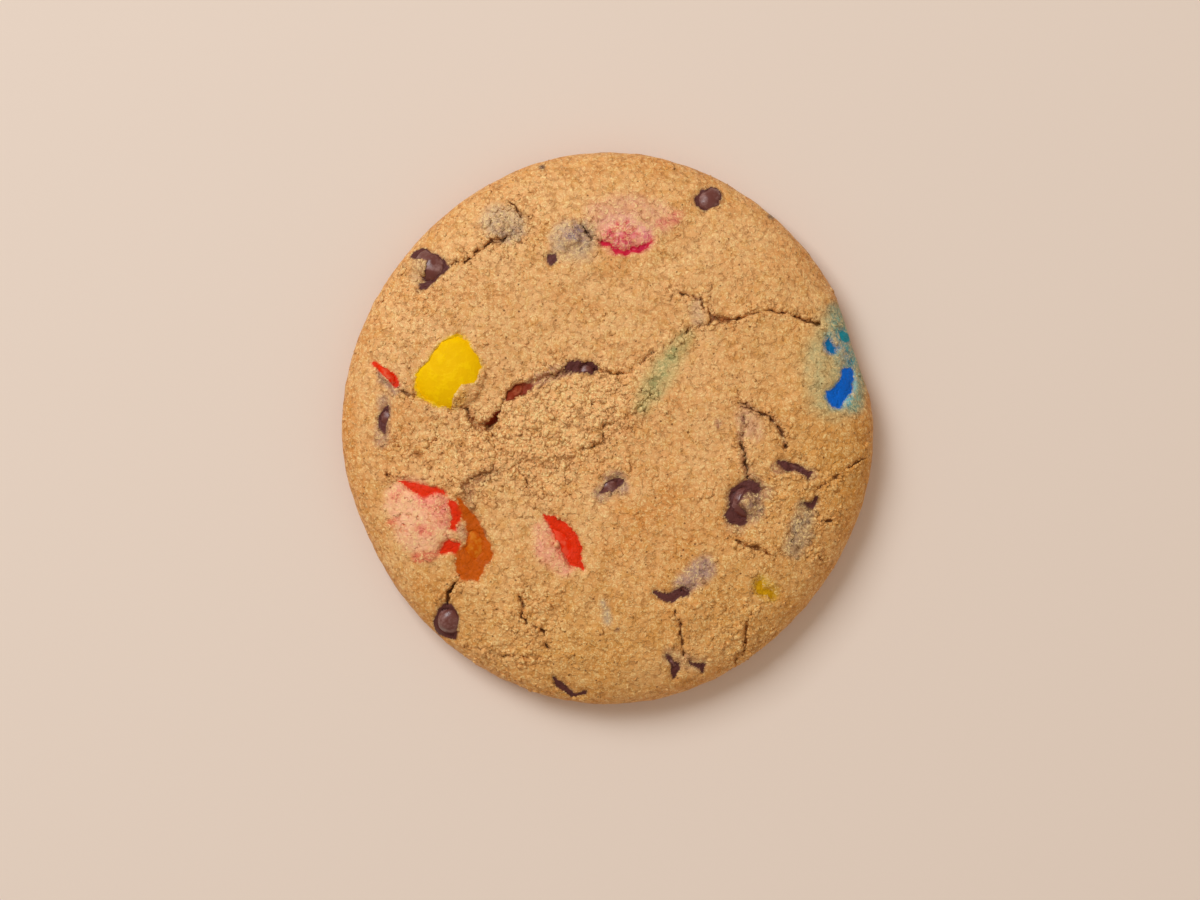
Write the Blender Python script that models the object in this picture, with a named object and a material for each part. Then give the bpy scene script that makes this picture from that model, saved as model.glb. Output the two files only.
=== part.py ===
"""Soft-baked cookie with sugar-coated chocolate candies and chocolate chips.

Metres, +Z up. The origin is the middle of the flat base, and +Y points to the far edge for someone who looks
down at it. The dough is one solid: a low dome with a bulging side, with its cracks, and the pockets and windows
of what was baked into it, cut out. Each candy and each chip is a solid of its own, and sits in its pocket with a
small gap all round.
"""

import math
import random
from typing import NamedTuple

import bmesh
import bpy
from mathutils import Matrix, Vector, noise

# The whole cookie
COOKIE_WIDTH = 0.0878
COOKIE_LENGTH = 0.0910
DOME_HEIGHT = 0.0130
WIDEST_HEIGHT = 0.0040
SHOULDER_POWER = 5
SQUARENESS = 0.00035
WALL_ROWS = ((0.0022, 0.995), (0.0010, 0.985), (0.0003, 0.970), (0.0, 0.950))

# What is baked into it
CANDY_DIAMETER = 0.0132
CANDY_THICKNESS = 0.0064
CHIP_DIAMETER = 0.0070
CHIP_HEIGHT = 0.0052
CHIP_FOOT_SHARE = 0.86
CHIP_BELLY = 0.45
CHIP_NOSE = 1.9
CHIP_FLANK = 0.7
GAP = 0.0003
SLOPE_REACH = 0.0015

# How finely the solids are faceted
GRID_CELLS = 36
RIM_SPREAD = 1.3
CANDY_SIDES = 18
CANDY_RINGS = 8
CHIP_SIDES = 10
CHIP_RINGS = 3
SCOOP_SIDES = 10
SCOOP_RINGS = 5
SHARP_ANGLE = math.radians(40)
MERGE_DISTANCE = 1e-6

# The dough's soft lumps: height, width of one lump, and a place in the noise
LUMPS = ((0.00035, 0.0075, 2.0), (0.00020, 0.0032, 7.0))
RIM_FADE_POWER = 12

# The cracks wander from side to side, one bend to a step
CRACK_STEP = 0.0024
CRACK_SWAY = 0.0004
CRACK_LIFT = 0.0008
CRACK_TIP = 0.2
WANDER_SEED = 11


class Dent(NamedTuple):
    """A shallow flat in the outline, by its depth, its compass direction and its half-width in degrees."""

    depth: float
    direction: float
    spread: float


class Mound(NamedTuple):
    """A soft rise of the crust, or a dip where the height is negative."""

    x: float
    y: float
    along: float
    across: float
    turn: float
    height: float


class Candy(NamedTuple):
    """A lens-shaped candy: its middle lies `sink` under the crust, its upper face leans by `tilt` degrees."""

    name: str
    x: float
    y: float
    sink: float
    tilt: float
    toward: float
    size: float
    colour: str


class Shard(NamedTuple):
    """A sliver of a broken candy, by its length, width and height."""

    name: str
    x: float
    y: float
    sink: float
    turn: float
    length: float
    width: float
    height: float
    colour: str


class Chip(NamedTuple):
    """A chocolate chip: its middle lies `sink` under the crust, and its tip leans by `tilt` degrees."""

    x: float
    y: float
    sink: float
    tilt: float
    toward: float
    size: float


class Scoop(NamedTuple):
    """A rounded bite out of the crust that bares what lies under it."""

    x: float
    y: float
    along: float
    across: float
    turn: float
    depth: float


class Crack(NamedTuple):
    """A crack by its width, its depth and the points that it runs through."""

    width: float
    depth: float
    points: tuple


COLOURS = {
    "dough": (0.66, 0.33, 0.12),
    "yellow": (0.84, 0.48, 0.004),
    "red": (0.66, 0.045, 0.018),
    "orange": (0.47, 0.08, 0.004),
    "pink": (0.55, 0.03, 0.07),
    "blue": (0.004, 0.10, 0.39),
    "brown": (0.24, 0.054, 0.017),
    "chocolate": (0.11, 0.030, 0.019),
}
ROUGHNESS = {"dough": 0.75, "chocolate": 0.4}
CANDY_ROUGHNESS = 0.3

DENTS = (Dent(0.0013, 18, 11), Dent(0.0004, 205, 12))

MOUNDS = (
    Mound(-0.0079, 0.0006, 0.0125, 0.0050, 22, 0.0008),
    Mound(-0.0305, -0.0152, 0.0062, 0.0062, 0, 0.0010),
    Mound(0.0048, 0.0340, 0.0070, 0.0050, 0, 0.0006),
    Mound(0.0360, 0.0105, 0.0045, 0.0075, 0, 0.0005),
    Mound(-0.0112, -0.0200, 0.0060, 0.0055, 0, 0.0004),
    Mound(-0.0220, 0.0010, 0.0045, 0.0035, 20, -0.0006),
    Mound(-0.0215, -0.0190, 0.0030, 0.0055, 0, -0.0005),
)

CANDIES = (
    Candy("candy_yellow", -0.0261, 0.0090, 0.0020, 4, 150, 1.0, "yellow"),
    Candy("candy_red_left", -0.0311, -0.0149, 0.0040, 3, 200, 0.95, "red"),
    Candy("candy_orange", -0.0202, -0.0191, 0.0056, 57, 3, 0.94, "orange"),
    Candy("candy_red_right", -0.0100, -0.0204, 0.0038, 11, 215, 0.95, "red"),
    Candy("candy_pink", 0.0048, 0.0338, 0.0039, 10, 95, 1.0, "pink"),
    Candy("candy_blue", 0.0371, 0.0108, 0.0038, 0, 0, 1.0, "blue"),
)

SHARDS = (
    Shard("candy_red_shard", -0.0364, 0.0089, 0.0012, -50, 0.0054, 0.0022, 0.0034, "red"),
    Shard("candy_brown_shard", -0.0158, 0.0050, 0.0024, 52, 0.0068, 0.0030, 0.0034, "brown"),
)

CHIPS = (
    Chip(0.0162, 0.0375, 0.0014, 62, 200, 0.80),
    Chip(-0.0289, 0.0262, 0.0014, 50, 320, 1.00),
    Chip(-0.0173, 0.0337, 0.0019, 20, 290, 0.90),
    Chip(-0.0060, 0.0311, 0.0015, 35, 330, 0.95),
    Chip(-0.0036, 0.0094, 0.0026, 25, 80, 0.80),
    Chip(-0.0368, 0.0017, 0.0022, 30, 180, 0.80),
    Chip(0.0003, -0.0097, 0.0020, 25, 60, 0.90),
    Chip(0.0220, -0.0120, 0.0019, 20, 150, 1.10),
    Chip(0.0306, -0.0060, 0.0025, 35, 260, 0.90),
    Chip(0.0127, -0.0250, 0.0024, 40, 200, 1.05),
    Chip(-0.0264, -0.0316, 0.0010, 30, 80, 0.85),
    Chip(-0.0066, -0.0418, 0.0022, 35, 250, 0.80),
    Chip(0.0107, -0.0389, 0.0020, 30, 200, 0.70),
    Chip(0.0326, -0.0146, 0.0022, 25, 100, 0.85),
    Chip(0.0160, -0.0378, 0.0019, 20, 30, 0.55),
)

SCOOPS = (
    # over the candies
    Scoop(-0.0216, -0.0188, 0.0030, 0.0062, 0, 0.0024),
    Scoop(-0.0064, -0.0185, 0.0047, 0.0017, -55, 0.0015),
    Scoop(0.0028, 0.0296, 0.0045, 0.0015, 6, 0.0016),
    Scoop(0.0383, 0.0064, 0.0036, 0.0020, 68, 0.0015),
    Scoop(0.0378, 0.0138, 0.0021, 0.0013, 60, 0.0013),
    # over the chips
    Scoop(-0.0038, 0.0094, 0.0025, 0.0010, 15, 0.0015),
    Scoop(-0.0173, 0.0335, 0.0026, 0.0020, 20, 0.0008),
    Scoop(-0.0058, 0.0311, 0.0030, 0.0026, -20, 0.0009),
    Scoop(-0.0368, 0.0017, 0.0020, 0.0011, 80, 0.0011),
    Scoop(0.0001, -0.0099, 0.0026, 0.0015, 25, 0.0011),
    Scoop(0.0216, -0.0122, 0.0036, 0.0027, 65, 0.0011),
    Scoop(0.0305, -0.0065, 0.0030, 0.0010, -18, 0.0014),
    Scoop(0.0114, -0.0254, 0.0042, 0.0016, 18, 0.0014),
    Scoop(-0.0066, -0.0422, 0.0028, 0.0010, -30, 0.0013),
    Scoop(0.0107, -0.0389, 0.0021, 0.0011, 110, 0.0011),
    Scoop(0.0326, -0.0142, 0.0036, 0.0015, 75, 0.0010),
    Scoop(0.0160, -0.0378, 0.0013, 0.0010, 30, 0.0010),
)

# The film over the left red candy has split along an arc of its rim
FILM_SPLIT_RADIUS = 0.0057
FILM_SPLIT_WIDTH = 0.0017
FILM_SPLIT_DEPTH = 0.0022
FILM_SPLIT_FROM = 122
FILM_SPLIT_TO = -58
FILM_SPLIT_POINTS = 8

CRACKS = (
    # the long crack across the middle, wide in its second stretch, and its fork to the right
    Crack(0.0009, 0.0016, (
        (-0.0366, 0.0100), (-0.0323, 0.0054), (-0.0252, 0.0029), (-0.0200, 0.0006),
    )),
    Crack(0.0020, 0.0026, (
        (-0.0204, 0.0002), (-0.0170, 0.0034), (-0.0145, 0.0060), (-0.0099, 0.0082), (-0.0038, 0.0097),
    )),
    Crack(0.0010, 0.0016, (
        (-0.0046, 0.0096), (0.0020, 0.0087), (0.0069, 0.0120), (0.0135, 0.0158), (0.0182, 0.0176),
    )),
    Crack(0.0009, 0.0013, ((0.0175, 0.0173), (0.0251, 0.0188), (0.0317, 0.0176), (0.0366, 0.0170))),
    Crack(0.0007, 0.0011, ((0.0160, 0.0176), (0.0152, 0.0196), (0.0135, 0.0213), (0.0078, 0.0237))),
    # down from it, past the left red candy
    Crack(0.0012, 0.0018, (
        (-0.0203, 0.0012), (-0.0185, -0.0030), (-0.0196, -0.0072), (-0.0232, -0.0100), (-0.0239, -0.0120),
    )),
    # under the raised middle
    Crack(0.0009, 0.0013, (
        (-0.0190, -0.0072), (-0.0142, -0.0056), (-0.0056, -0.0052), (-0.0022, -0.0028),
    )),
    Crack(0.0008, 0.0013, ((-0.0026, -0.0030), (-0.0005, 0.0002), (0.0046, 0.0020), (0.0071, 0.0052))),
    # upper left, beside the chips
    Crack(0.0009, 0.0014, (
        (-0.0252, 0.0262), (-0.0212, 0.0284), (-0.0170, 0.0306), (-0.0139, 0.0330), (-0.0112, 0.0345),
    )),
    # right of the middle, to the long sliver of chip
    Crack(0.0007, 0.0012, ((0.0201, 0.0047), (0.0256, 0.0022), (0.0284, -0.0014), (0.0292, -0.0048))),
    Crack(0.0007, 0.0012, ((0.0221, 0.0026), (0.0215, -0.0022), (0.0228, -0.0060), (0.0226, -0.0090))),
    # lower edge
    Crack(0.0009, 0.0014, (
        (-0.0150, -0.0268), (-0.0138, -0.0305), (-0.0104, -0.0331), (-0.0098, -0.0357),
    )),
    Crack(0.0008, 0.0012, ((-0.0211, -0.0360), (-0.0160, -0.0374), (-0.0108, -0.0376))),
    Crack(0.0006, 0.0010, ((0.0109, -0.0296), (0.0119, -0.0332), (0.0125, -0.0368))),
    Crack(0.0009, 0.0014, ((0.0232, -0.0304), (0.0224, -0.0350), (0.0206, -0.0388))),
    # short ones on the right
    Crack(0.0008, 0.0010, ((0.0204, -0.0182), (0.0236, -0.0196), (0.0266, -0.0204))),
    Crack(0.0008, 0.0010, ((0.0330, -0.0106), (0.0366, -0.0082), (0.0398, -0.0060))),
)


def clear_scene():
    """Start from an empty scene."""
    for thing in list(bpy.data.objects):
        bpy.data.objects.remove(thing, do_unlink=True)


def material(name):
    """A plain finish in one of the named colours."""
    found = bpy.data.materials.get(name)
    if found:
        return found
    made = bpy.data.materials.new(name)
    made.use_nodes = True
    shader = made.node_tree.nodes["Principled BSDF"]
    shader.inputs["Base Color"].default_value = (*COLOURS[name], 1.0)
    shader.inputs["Roughness"].default_value = ROUGHNESS.get(name, CANDY_ROUGHNESS)
    shader.inputs["Metallic"].default_value = 0.0
    return made


def add_object(name, mesh, colour):
    """Put a mesh into the scene under its name, shaded smooth up to its sharp edges."""
    made = bpy.data.objects.new(name, mesh)
    bpy.context.scene.collection.objects.link(made)
    mesh.materials.clear()
    mesh.materials.append(material(colour))
    mesh.shade_smooth()
    mesh.set_sharp_from_angle(angle=SHARP_ANGLE)
    return made


def outline_radius(angle):
    """The cookie's radius in one compass direction: an oval, a little square, with two shallow flats."""
    oval = (COOKIE_LENGTH - COOKIE_WIDTH) / 4
    mean = (COOKIE_LENGTH + COOKIE_WIDTH) / 4 - SQUARENESS
    radius = mean - oval * math.cos(2 * angle) + SQUARENESS * math.cos(4 * angle)
    for dent in DENTS:
        turn = (math.degrees(angle) - dent.direction + 180) % 360 - 180
        radius -= dent.depth * math.exp(-((turn / dent.spread) ** 2))
    return radius


def rim_share(x, y):
    """How far out a point lies, from 0 in the middle to 1 at the widest line."""
    return min(1.0, math.hypot(x, y) / outline_radius(math.atan2(y, x)))


def mound_height(mound, x, y):
    """What one mound adds at a point."""
    turn = math.radians(mound.turn)
    east, north = x - mound.x, y - mound.y
    along = (east * math.cos(turn) + north * math.sin(turn)) / mound.along
    across = (north * math.cos(turn) - east * math.sin(turn)) / mound.across
    return mound.height * math.exp(-(along**2 + across**2))


def crust_height(x, y):
    """The height of the crust over a point, without its cracks."""
    share = rim_share(x, y)
    dome = (DOME_HEIGHT - WIDEST_HEIGHT) * math.sqrt(1 - share**SHOULDER_POWER)
    relief = sum(mound_height(mound, x, y) for mound in MOUNDS)
    for height, width, place in LUMPS:
        relief += height * noise.noise(Vector((x / width, y / width, place)))
    return WIDEST_HEIGHT + dome + relief * (1 - share**RIM_FADE_POWER)


def disc_place(u, v):
    """Turn a point of a square from -1 to 1 into one of the plan, with rings that crowd to the rim."""
    ring = max(abs(u), abs(v))
    if ring == 0:
        return 0.0, 0.0
    if abs(u) >= abs(v):
        angle = math.pi / 4 * v / u + (math.pi if u < 0 else 0)
    else:
        angle = math.pi / 2 - math.pi / 4 * u / v + (math.pi if v < 0 else 0)
    radius = outline_radius(angle) * (1 - (1 - ring) ** RIM_SPREAD)
    return radius * math.cos(angle), radius * math.sin(angle)


def dough_blank():
    """The uncut dough: a grid bent to the crust, with its rim drawn down to a flat base."""
    bm = bmesh.new()
    bmesh.ops.create_grid(bm, x_segments=GRID_CELLS, y_segments=GRID_CELLS, size=1.0)
    for vert in bm.verts:
        x, y = disc_place(vert.co.x, vert.co.y)
        vert.co = (x, y, crust_height(x, y))
    rim = [edge for edge in bm.edges if edge.is_boundary]
    widest = WIDEST_HEIGHT
    scale_so_far = 1.0
    for height, scale in WALL_ROWS:
        pulled = bmesh.ops.extrude_edge_only(bm, edges=rim)["geom"]
        for vert in (part for part in pulled if isinstance(part, bmesh.types.BMVert)):
            vert.co.x *= scale / scale_so_far
            vert.co.y *= scale / scale_so_far
            vert.co.z += height - widest
        rim = [part for part in pulled if isinstance(part, bmesh.types.BMEdge) and part.is_boundary]
        widest = height
        scale_so_far = scale
    bmesh.ops.edgeloop_fill(bm, edges=rim)
    bmesh.ops.recalc_face_normals(bm, faces=bm.faces)
    return bm


def seat(x, y, sink, tilt, toward):
    """The place of a piece that lies square under the crust, and then leans towards a compass direction."""
    east = (crust_height(x + SLOPE_REACH, y) - crust_height(x - SLOPE_REACH, y)) / (2 * SLOPE_REACH)
    north = (crust_height(x, y + SLOPE_REACH) - crust_height(x, y - SLOPE_REACH)) / (2 * SLOPE_REACH)
    slope = Vector((0, 0, 1)).rotation_difference(Vector((-east, -north, 1))).to_matrix().to_4x4()
    compass = math.radians(toward)
    lean = Matrix.Rotation(math.radians(tilt), 4, Vector((-math.sin(compass), math.cos(compass), 0)))
    surface = Matrix.Translation((x, y, crust_height(x, y)))
    return surface @ slope @ Matrix.Translation((0, 0, -sink)) @ lean


def turned_solid(profile, sides):
    """Spin a profile of (radius, height) points, which starts and ends on the axis, into a closed solid."""
    bm = bmesh.new()
    verts = [bm.verts.new((radius, 0, height)) for radius, height in profile]
    edges = [bm.edges.new(pair) for pair in zip(verts, verts[1:])]
    bmesh.ops.spin(
        bm, geom=verts + edges, cent=(0, 0, 0), axis=(0, 0, 1), angle=2 * math.pi, steps=sides, use_merge=True
    )
    bmesh.ops.remove_doubles(bm, verts=bm.verts, dist=MERGE_DISTANCE)
    bmesh.ops.recalc_face_normals(bm, faces=bm.faces)
    return bm


def candy_solid(candy, grow):
    """A candy's lens, or its pocket where it is grown."""
    radius = CANDY_DIAMETER / 2 * candy.size + grow
    half = CANDY_THICKNESS / 2 * candy.size + grow
    steps = [math.pi * (step / CANDY_RINGS - 0.5) for step in range(CANDY_RINGS + 1)]
    profile = [(max(0.0, radius * math.cos(step)), half * math.sin(step)) for step in steps]
    bm = turned_solid(profile, CANDY_SIDES)
    bm.transform(seat(candy.x, candy.y, candy.sink, candy.tilt, candy.toward))
    return bm


def chip_solid(chip, grow):
    """A chip's blunt drop on its flat foot, or its pocket where it is grown."""
    radius = CHIP_DIAMETER / 2 * chip.size + grow
    height = CHIP_HEIGHT * chip.size + 2 * grow
    profile = [(0.0, -height / 2), (radius * CHIP_FOOT_SHARE, -height / 2)]
    for ring in range(CHIP_RINGS + 1):
        rise = (ring + CHIP_BELLY) / (CHIP_RINGS + CHIP_BELLY)
        profile.append((radius * (1 - rise**CHIP_NOSE) ** CHIP_FLANK, height * (rise - 0.5)))
    bm = turned_solid(profile, CHIP_SIDES)
    bm.transform(seat(chip.x, chip.y, chip.sink, chip.tilt, chip.toward))
    return bm


def ellipsoid(place, half_sizes, sides, rings):
    """A closed ellipsoid at a place."""
    bm = bmesh.new()
    bmesh.ops.create_uvsphere(bm, u_segments=sides, v_segments=rings, radius=1.0)
    bm.transform(place @ Matrix.Diagonal((*half_sizes, 1.0)))
    return bm


def shard_solid(shard, grow):
    """A sliver of candy, or its pocket where it is grown."""
    place = seat(shard.x, shard.y, shard.sink, 0, 0) @ Matrix.Rotation(math.radians(shard.turn), 4, "Z")
    half_sizes = (shard.length / 2 + grow, shard.width / 2 + grow, shard.height / 2 + grow)
    return ellipsoid(place, half_sizes, SCOOP_SIDES, SCOOP_RINGS)


def scoop_solid(scoop):
    """The bite that bares a candy or a chip."""
    place = seat(scoop.x, scoop.y, 0, 0, 0) @ Matrix.Rotation(math.radians(scoop.turn), 4, "Z")
    return ellipsoid(place, (scoop.along, scoop.across, scoop.depth), SCOOP_SIDES, SCOOP_RINGS)


def wander(points, rng):
    """Walk along a line of points in even steps, swaying to the side at each step but the end ones."""
    path = []
    for start, end in zip(points, points[1:]):
        start, end = Vector(start), Vector(end)
        steps = max(1, round((end - start).length / CRACK_STEP))
        side = Vector((start.y - end.y, end.x - start.x)).normalized()
        for step in range(steps):
            sway = rng.uniform(-CRACK_SWAY, CRACK_SWAY) if path else 0.0
            path.append(start.lerp(end, step / steps) + side * sway)
    path.append(Vector(points[-1]))
    return path


def groove_solid(path, width, depth):
    """A wedge that follows a path over the crust, narrow and shallow at both ends."""
    bm = bmesh.new()
    sections = []
    for index, point in enumerate(path):
        before, after = path[max(0, index - 1)], path[min(len(path) - 1, index + 1)]
        side = Vector((before.y - after.y, after.x - before.x)).normalized()
        size = CRACK_TIP if index in (0, len(path) - 1) else 1.0
        reach = side * (width / 2 * size * (depth + CRACK_LIFT) / depth)
        height = crust_height(point.x, point.y)
        corners = ((point - reach, CRACK_LIFT), (point + reach, CRACK_LIFT), (point, -depth * size))
        sections.append([bm.verts.new((*corner, height + rise)) for corner, rise in corners])
    for here, there in zip(sections, sections[1:]):
        for corner in range(3):
            following = (corner + 1) % 3
            bm.faces.new((here[corner], here[following], there[following], there[corner]))
    bm.faces.new(sections[0])
    bm.faces.new(sections[-1])
    bmesh.ops.recalc_face_normals(bm, faces=bm.faces)
    return bm


def film_split():
    """The arc along which the film over the left red candy has split."""
    candy = next(candy for candy in CANDIES if candy.name == "candy_red_left")
    sweep = math.radians(FILM_SPLIT_TO - FILM_SPLIT_FROM)
    arc = []
    for step in range(FILM_SPLIT_POINTS + 1):
        angle = math.radians(FILM_SPLIT_FROM) + sweep * step / FILM_SPLIT_POINTS
        reach = Vector((math.cos(angle), math.sin(angle))) * FILM_SPLIT_RADIUS
        arc.append(Vector((candy.x, candy.y)) + reach)
    return groove_solid(arc, FILM_SPLIT_WIDTH, FILM_SPLIT_DEPTH)


def cutter_solids():
    """Everything that is cut out of the dough."""
    rng = random.Random(WANDER_SEED)
    yield from (candy_solid(candy, GAP) for candy in CANDIES)
    yield from (shard_solid(shard, GAP) for shard in SHARDS)
    yield from (chip_solid(chip, GAP) for chip in CHIPS)
    yield from (scoop_solid(scoop) for scoop in SCOOPS)
    yield from (groove_solid(wander(crack.points, rng), crack.width, crack.depth) for crack in CRACKS)
    yield film_split()


def to_mesh(bm, name):
    """Turn a finished bmesh into a mesh."""
    mesh = bpy.data.meshes.new(name)
    bm.to_mesh(mesh)
    bm.free()
    return mesh


def drop_scraps(bm):
    """Keep the largest connected body, without the loose scraps that the cuts leave."""
    unseen = set(bm.verts)
    bodies = []
    while unseen:
        body, edge = set(), [unseen.pop()]
        while edge:
            vert = edge.pop()
            body.add(vert)
            near = {link.other_vert(vert) for link in vert.link_edges} & unseen
            unseen -= near
            edge.extend(near)
        bodies.append(body)
    largest = max(bodies, key=len)
    scraps = [vert for vert in bm.verts if vert not in largest]
    bmesh.ops.delete(bm, geom=scraps, context="VERTS")


def make_dough():
    """Cut every pocket, window and crack out of the dough in one Boolean."""
    cutters = bpy.data.collections.new("cutters")
    bpy.context.scene.collection.children.link(cutters)
    for bm in cutter_solids():
        cutter = bpy.data.objects.new("cutter", to_mesh(bm, "cutter"))
        cutter.hide_render = True
        cutter.display_type = "WIRE"
        cutters.objects.link(cutter)
    dough = add_object("dough", to_mesh(dough_blank(), "dough"), "dough")
    cut = dough.modifiers.new("cut", "BOOLEAN")
    cut.operation = "DIFFERENCE"
    cut.solver = "EXACT"
    cut.operand_type = "COLLECTION"
    cut.collection = cutters
    bpy.context.view_layer.update()
    bm = bmesh.new()
    bm.from_mesh(dough.evaluated_get(bpy.context.evaluated_depsgraph_get()).data)
    dough.modifiers.remove(cut)
    for cutter in list(cutters.objects):
        bpy.data.objects.remove(cutter, do_unlink=True)
    bpy.data.collections.remove(cutters)
    drop_scraps(bm)
    bm.to_mesh(dough.data)
    bm.free()


def make_pieces():
    """The candies, the slivers of candy and the chips."""
    for candy in CANDIES:
        add_object(candy.name, to_mesh(candy_solid(candy, 0.0), candy.name), candy.colour)
    for shard in SHARDS:
        add_object(shard.name, to_mesh(shard_solid(shard, 0.0), shard.name), shard.colour)
    for number, chip in enumerate(CHIPS, start=1):
        name = f"chip_{number:02d}"
        add_object(name, to_mesh(chip_solid(chip, 0.0), name), "chocolate")


clear_scene()
make_dough()
make_pieces()
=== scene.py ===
"""Looks of a soft-baked cookie with candies and chocolate chips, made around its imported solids.

The dough is one fine mesh: a grid bent to the cookie's crust, with cracks and windows carved into it,
drawn down to a flat base. Loose granules of crumb are scattered over it. The candies and chips are the
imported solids, smoothed. Places in the tables are in millimetres, from the middle of the base, and every
mesh is in metres.
"""

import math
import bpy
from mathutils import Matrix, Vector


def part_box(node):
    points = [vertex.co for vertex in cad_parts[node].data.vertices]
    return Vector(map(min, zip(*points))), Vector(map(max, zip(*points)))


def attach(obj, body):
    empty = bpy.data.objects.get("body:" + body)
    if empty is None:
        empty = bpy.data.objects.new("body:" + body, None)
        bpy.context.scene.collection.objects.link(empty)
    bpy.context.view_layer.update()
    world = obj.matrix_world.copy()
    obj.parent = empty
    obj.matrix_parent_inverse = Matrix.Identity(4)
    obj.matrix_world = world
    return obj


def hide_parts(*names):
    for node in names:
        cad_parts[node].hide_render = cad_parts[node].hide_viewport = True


bl_info = {
    "name": "Candy Chip Cookie",
    "version": (1, 0, 0),
    "blender": (4, 5, 0),
    "location": "View3D > Sidebar > Cookie",
    "description": "Makes a soft-baked cookie with candies and chocolate chips around its packed solids",
    "category": "Add Mesh",
}

from typing import NamedTuple

import bpy
import numpy as np
from bpy.props import FloatProperty, FloatVectorProperty, IntProperty, PointerProperty
from bpy.types import Operator, Panel, PropertyGroup
from mathutils import Vector, noise
from mathutils.bvhtree import BVHTree

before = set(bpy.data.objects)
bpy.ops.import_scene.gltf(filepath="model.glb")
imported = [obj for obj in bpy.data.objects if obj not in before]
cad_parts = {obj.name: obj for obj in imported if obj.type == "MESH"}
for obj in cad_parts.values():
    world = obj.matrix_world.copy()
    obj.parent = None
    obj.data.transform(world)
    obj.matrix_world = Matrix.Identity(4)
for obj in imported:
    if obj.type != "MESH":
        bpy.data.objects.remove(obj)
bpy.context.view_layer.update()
DOUGH_LOW, DOUGH_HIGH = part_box("dough")

MM = 0.001
BODY = "root"

# The crust's shape, in millimetres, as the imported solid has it. The higher a fade's power, the nearer to the
# rim the relief or the carving ends.
SHOULDER_POWER = 5
SQUARENESS = 0.35
RIM_FADE_POWER = 12
CARVE_FADE_POWER = 40
PROFILE_STEPS = 400
# Dents in the outline: depth, and the direction and spread in degrees
DENTS = ((1.3, 18, 11), (0.4, 205, 12))
# Soft lumps: height, width, and the place in the noise
LUMPS = ((0.35, 7.5, 2.0), (0.20, 3.2, 7.0))
# Mounds and hollows: x, y, reach along, reach across, turn in degrees, and height
MOUNDS = (
    (-7.9, 0.6, 12.5, 5.0, 22, 0.5),
    (-30.5, -15.2, 6.2, 6.2, 0, 1.0),
    (4.8, 34.0, 7.0, 5.0, 0, 0.6),
    (36.0, 10.5, 4.5, 7.5, 0, 0.5),
    (-11.2, -20.0, 6.0, 5.5, 0, 0.4),
    (-22.0, 1.0, 4.5, 3.5, 20, -0.6),
    (-21.5, -19.0, 3.0, 5.5, 0, -0.5),
)
# How far the wall draws in at the base, in how many rows, and the rings that close the base
WALL_PINCH = 0.05
WALL_PINCH_POWER = 4
WALL_ROWS = 12
BASE_RINGS = (0.975, 0.94, 0.88, 0.78, 0.62, 0.4)
# How far the crust lies under the solid's top, to leave room for the loose crumb
CRUMB_ALLOWANCE = 0.26

# The crust proper starts at this height, over this band, and the wall below it has no stains or cracks
CRUST_FROM = 1.5
CRUST_BAND = 2.5
# The dough's grain fades in from the base over this band
GRAIN_FROM = 0.2
GRAIN_BAND = 0.8

# A height above or below everything, a distance at which no crack or window counts, and next to nothing
FAR = 50.0
NO_GAP_NEAR = 3.0
TINY = 1e-6


def shade(red, green, blue):
    """A colour as seen on a screen, from 0 to 255, as the linear colour that a shader takes."""
    parts = (red / 255, green / 255, blue / 255)
    return tuple(part / 12.92 if part <= 0.04045 else ((part + 0.055) / 1.055) ** 2.4 for part in parts)


class Crack(NamedTuple):
    """A crack: how deep it is, and the points (x, y, half-width) that it runs through."""

    depth: float
    points: tuple


class Window(NamedTuple):
    """Where the dough has opened over a candy or a chip, and the colour that has bled round the opening.

    It is a stroke through points (x, y, half-width), or an outline where the points have no half-width.
    """

    colour: tuple
    reach: float
    strength: float
    points: tuple


class Stain(NamedTuple):
    """Colour that has soaked into the crust, drawn as a window is, with an edge soft over `reach`."""

    colour: tuple
    reach: float
    strength: float
    points: tuple


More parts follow.
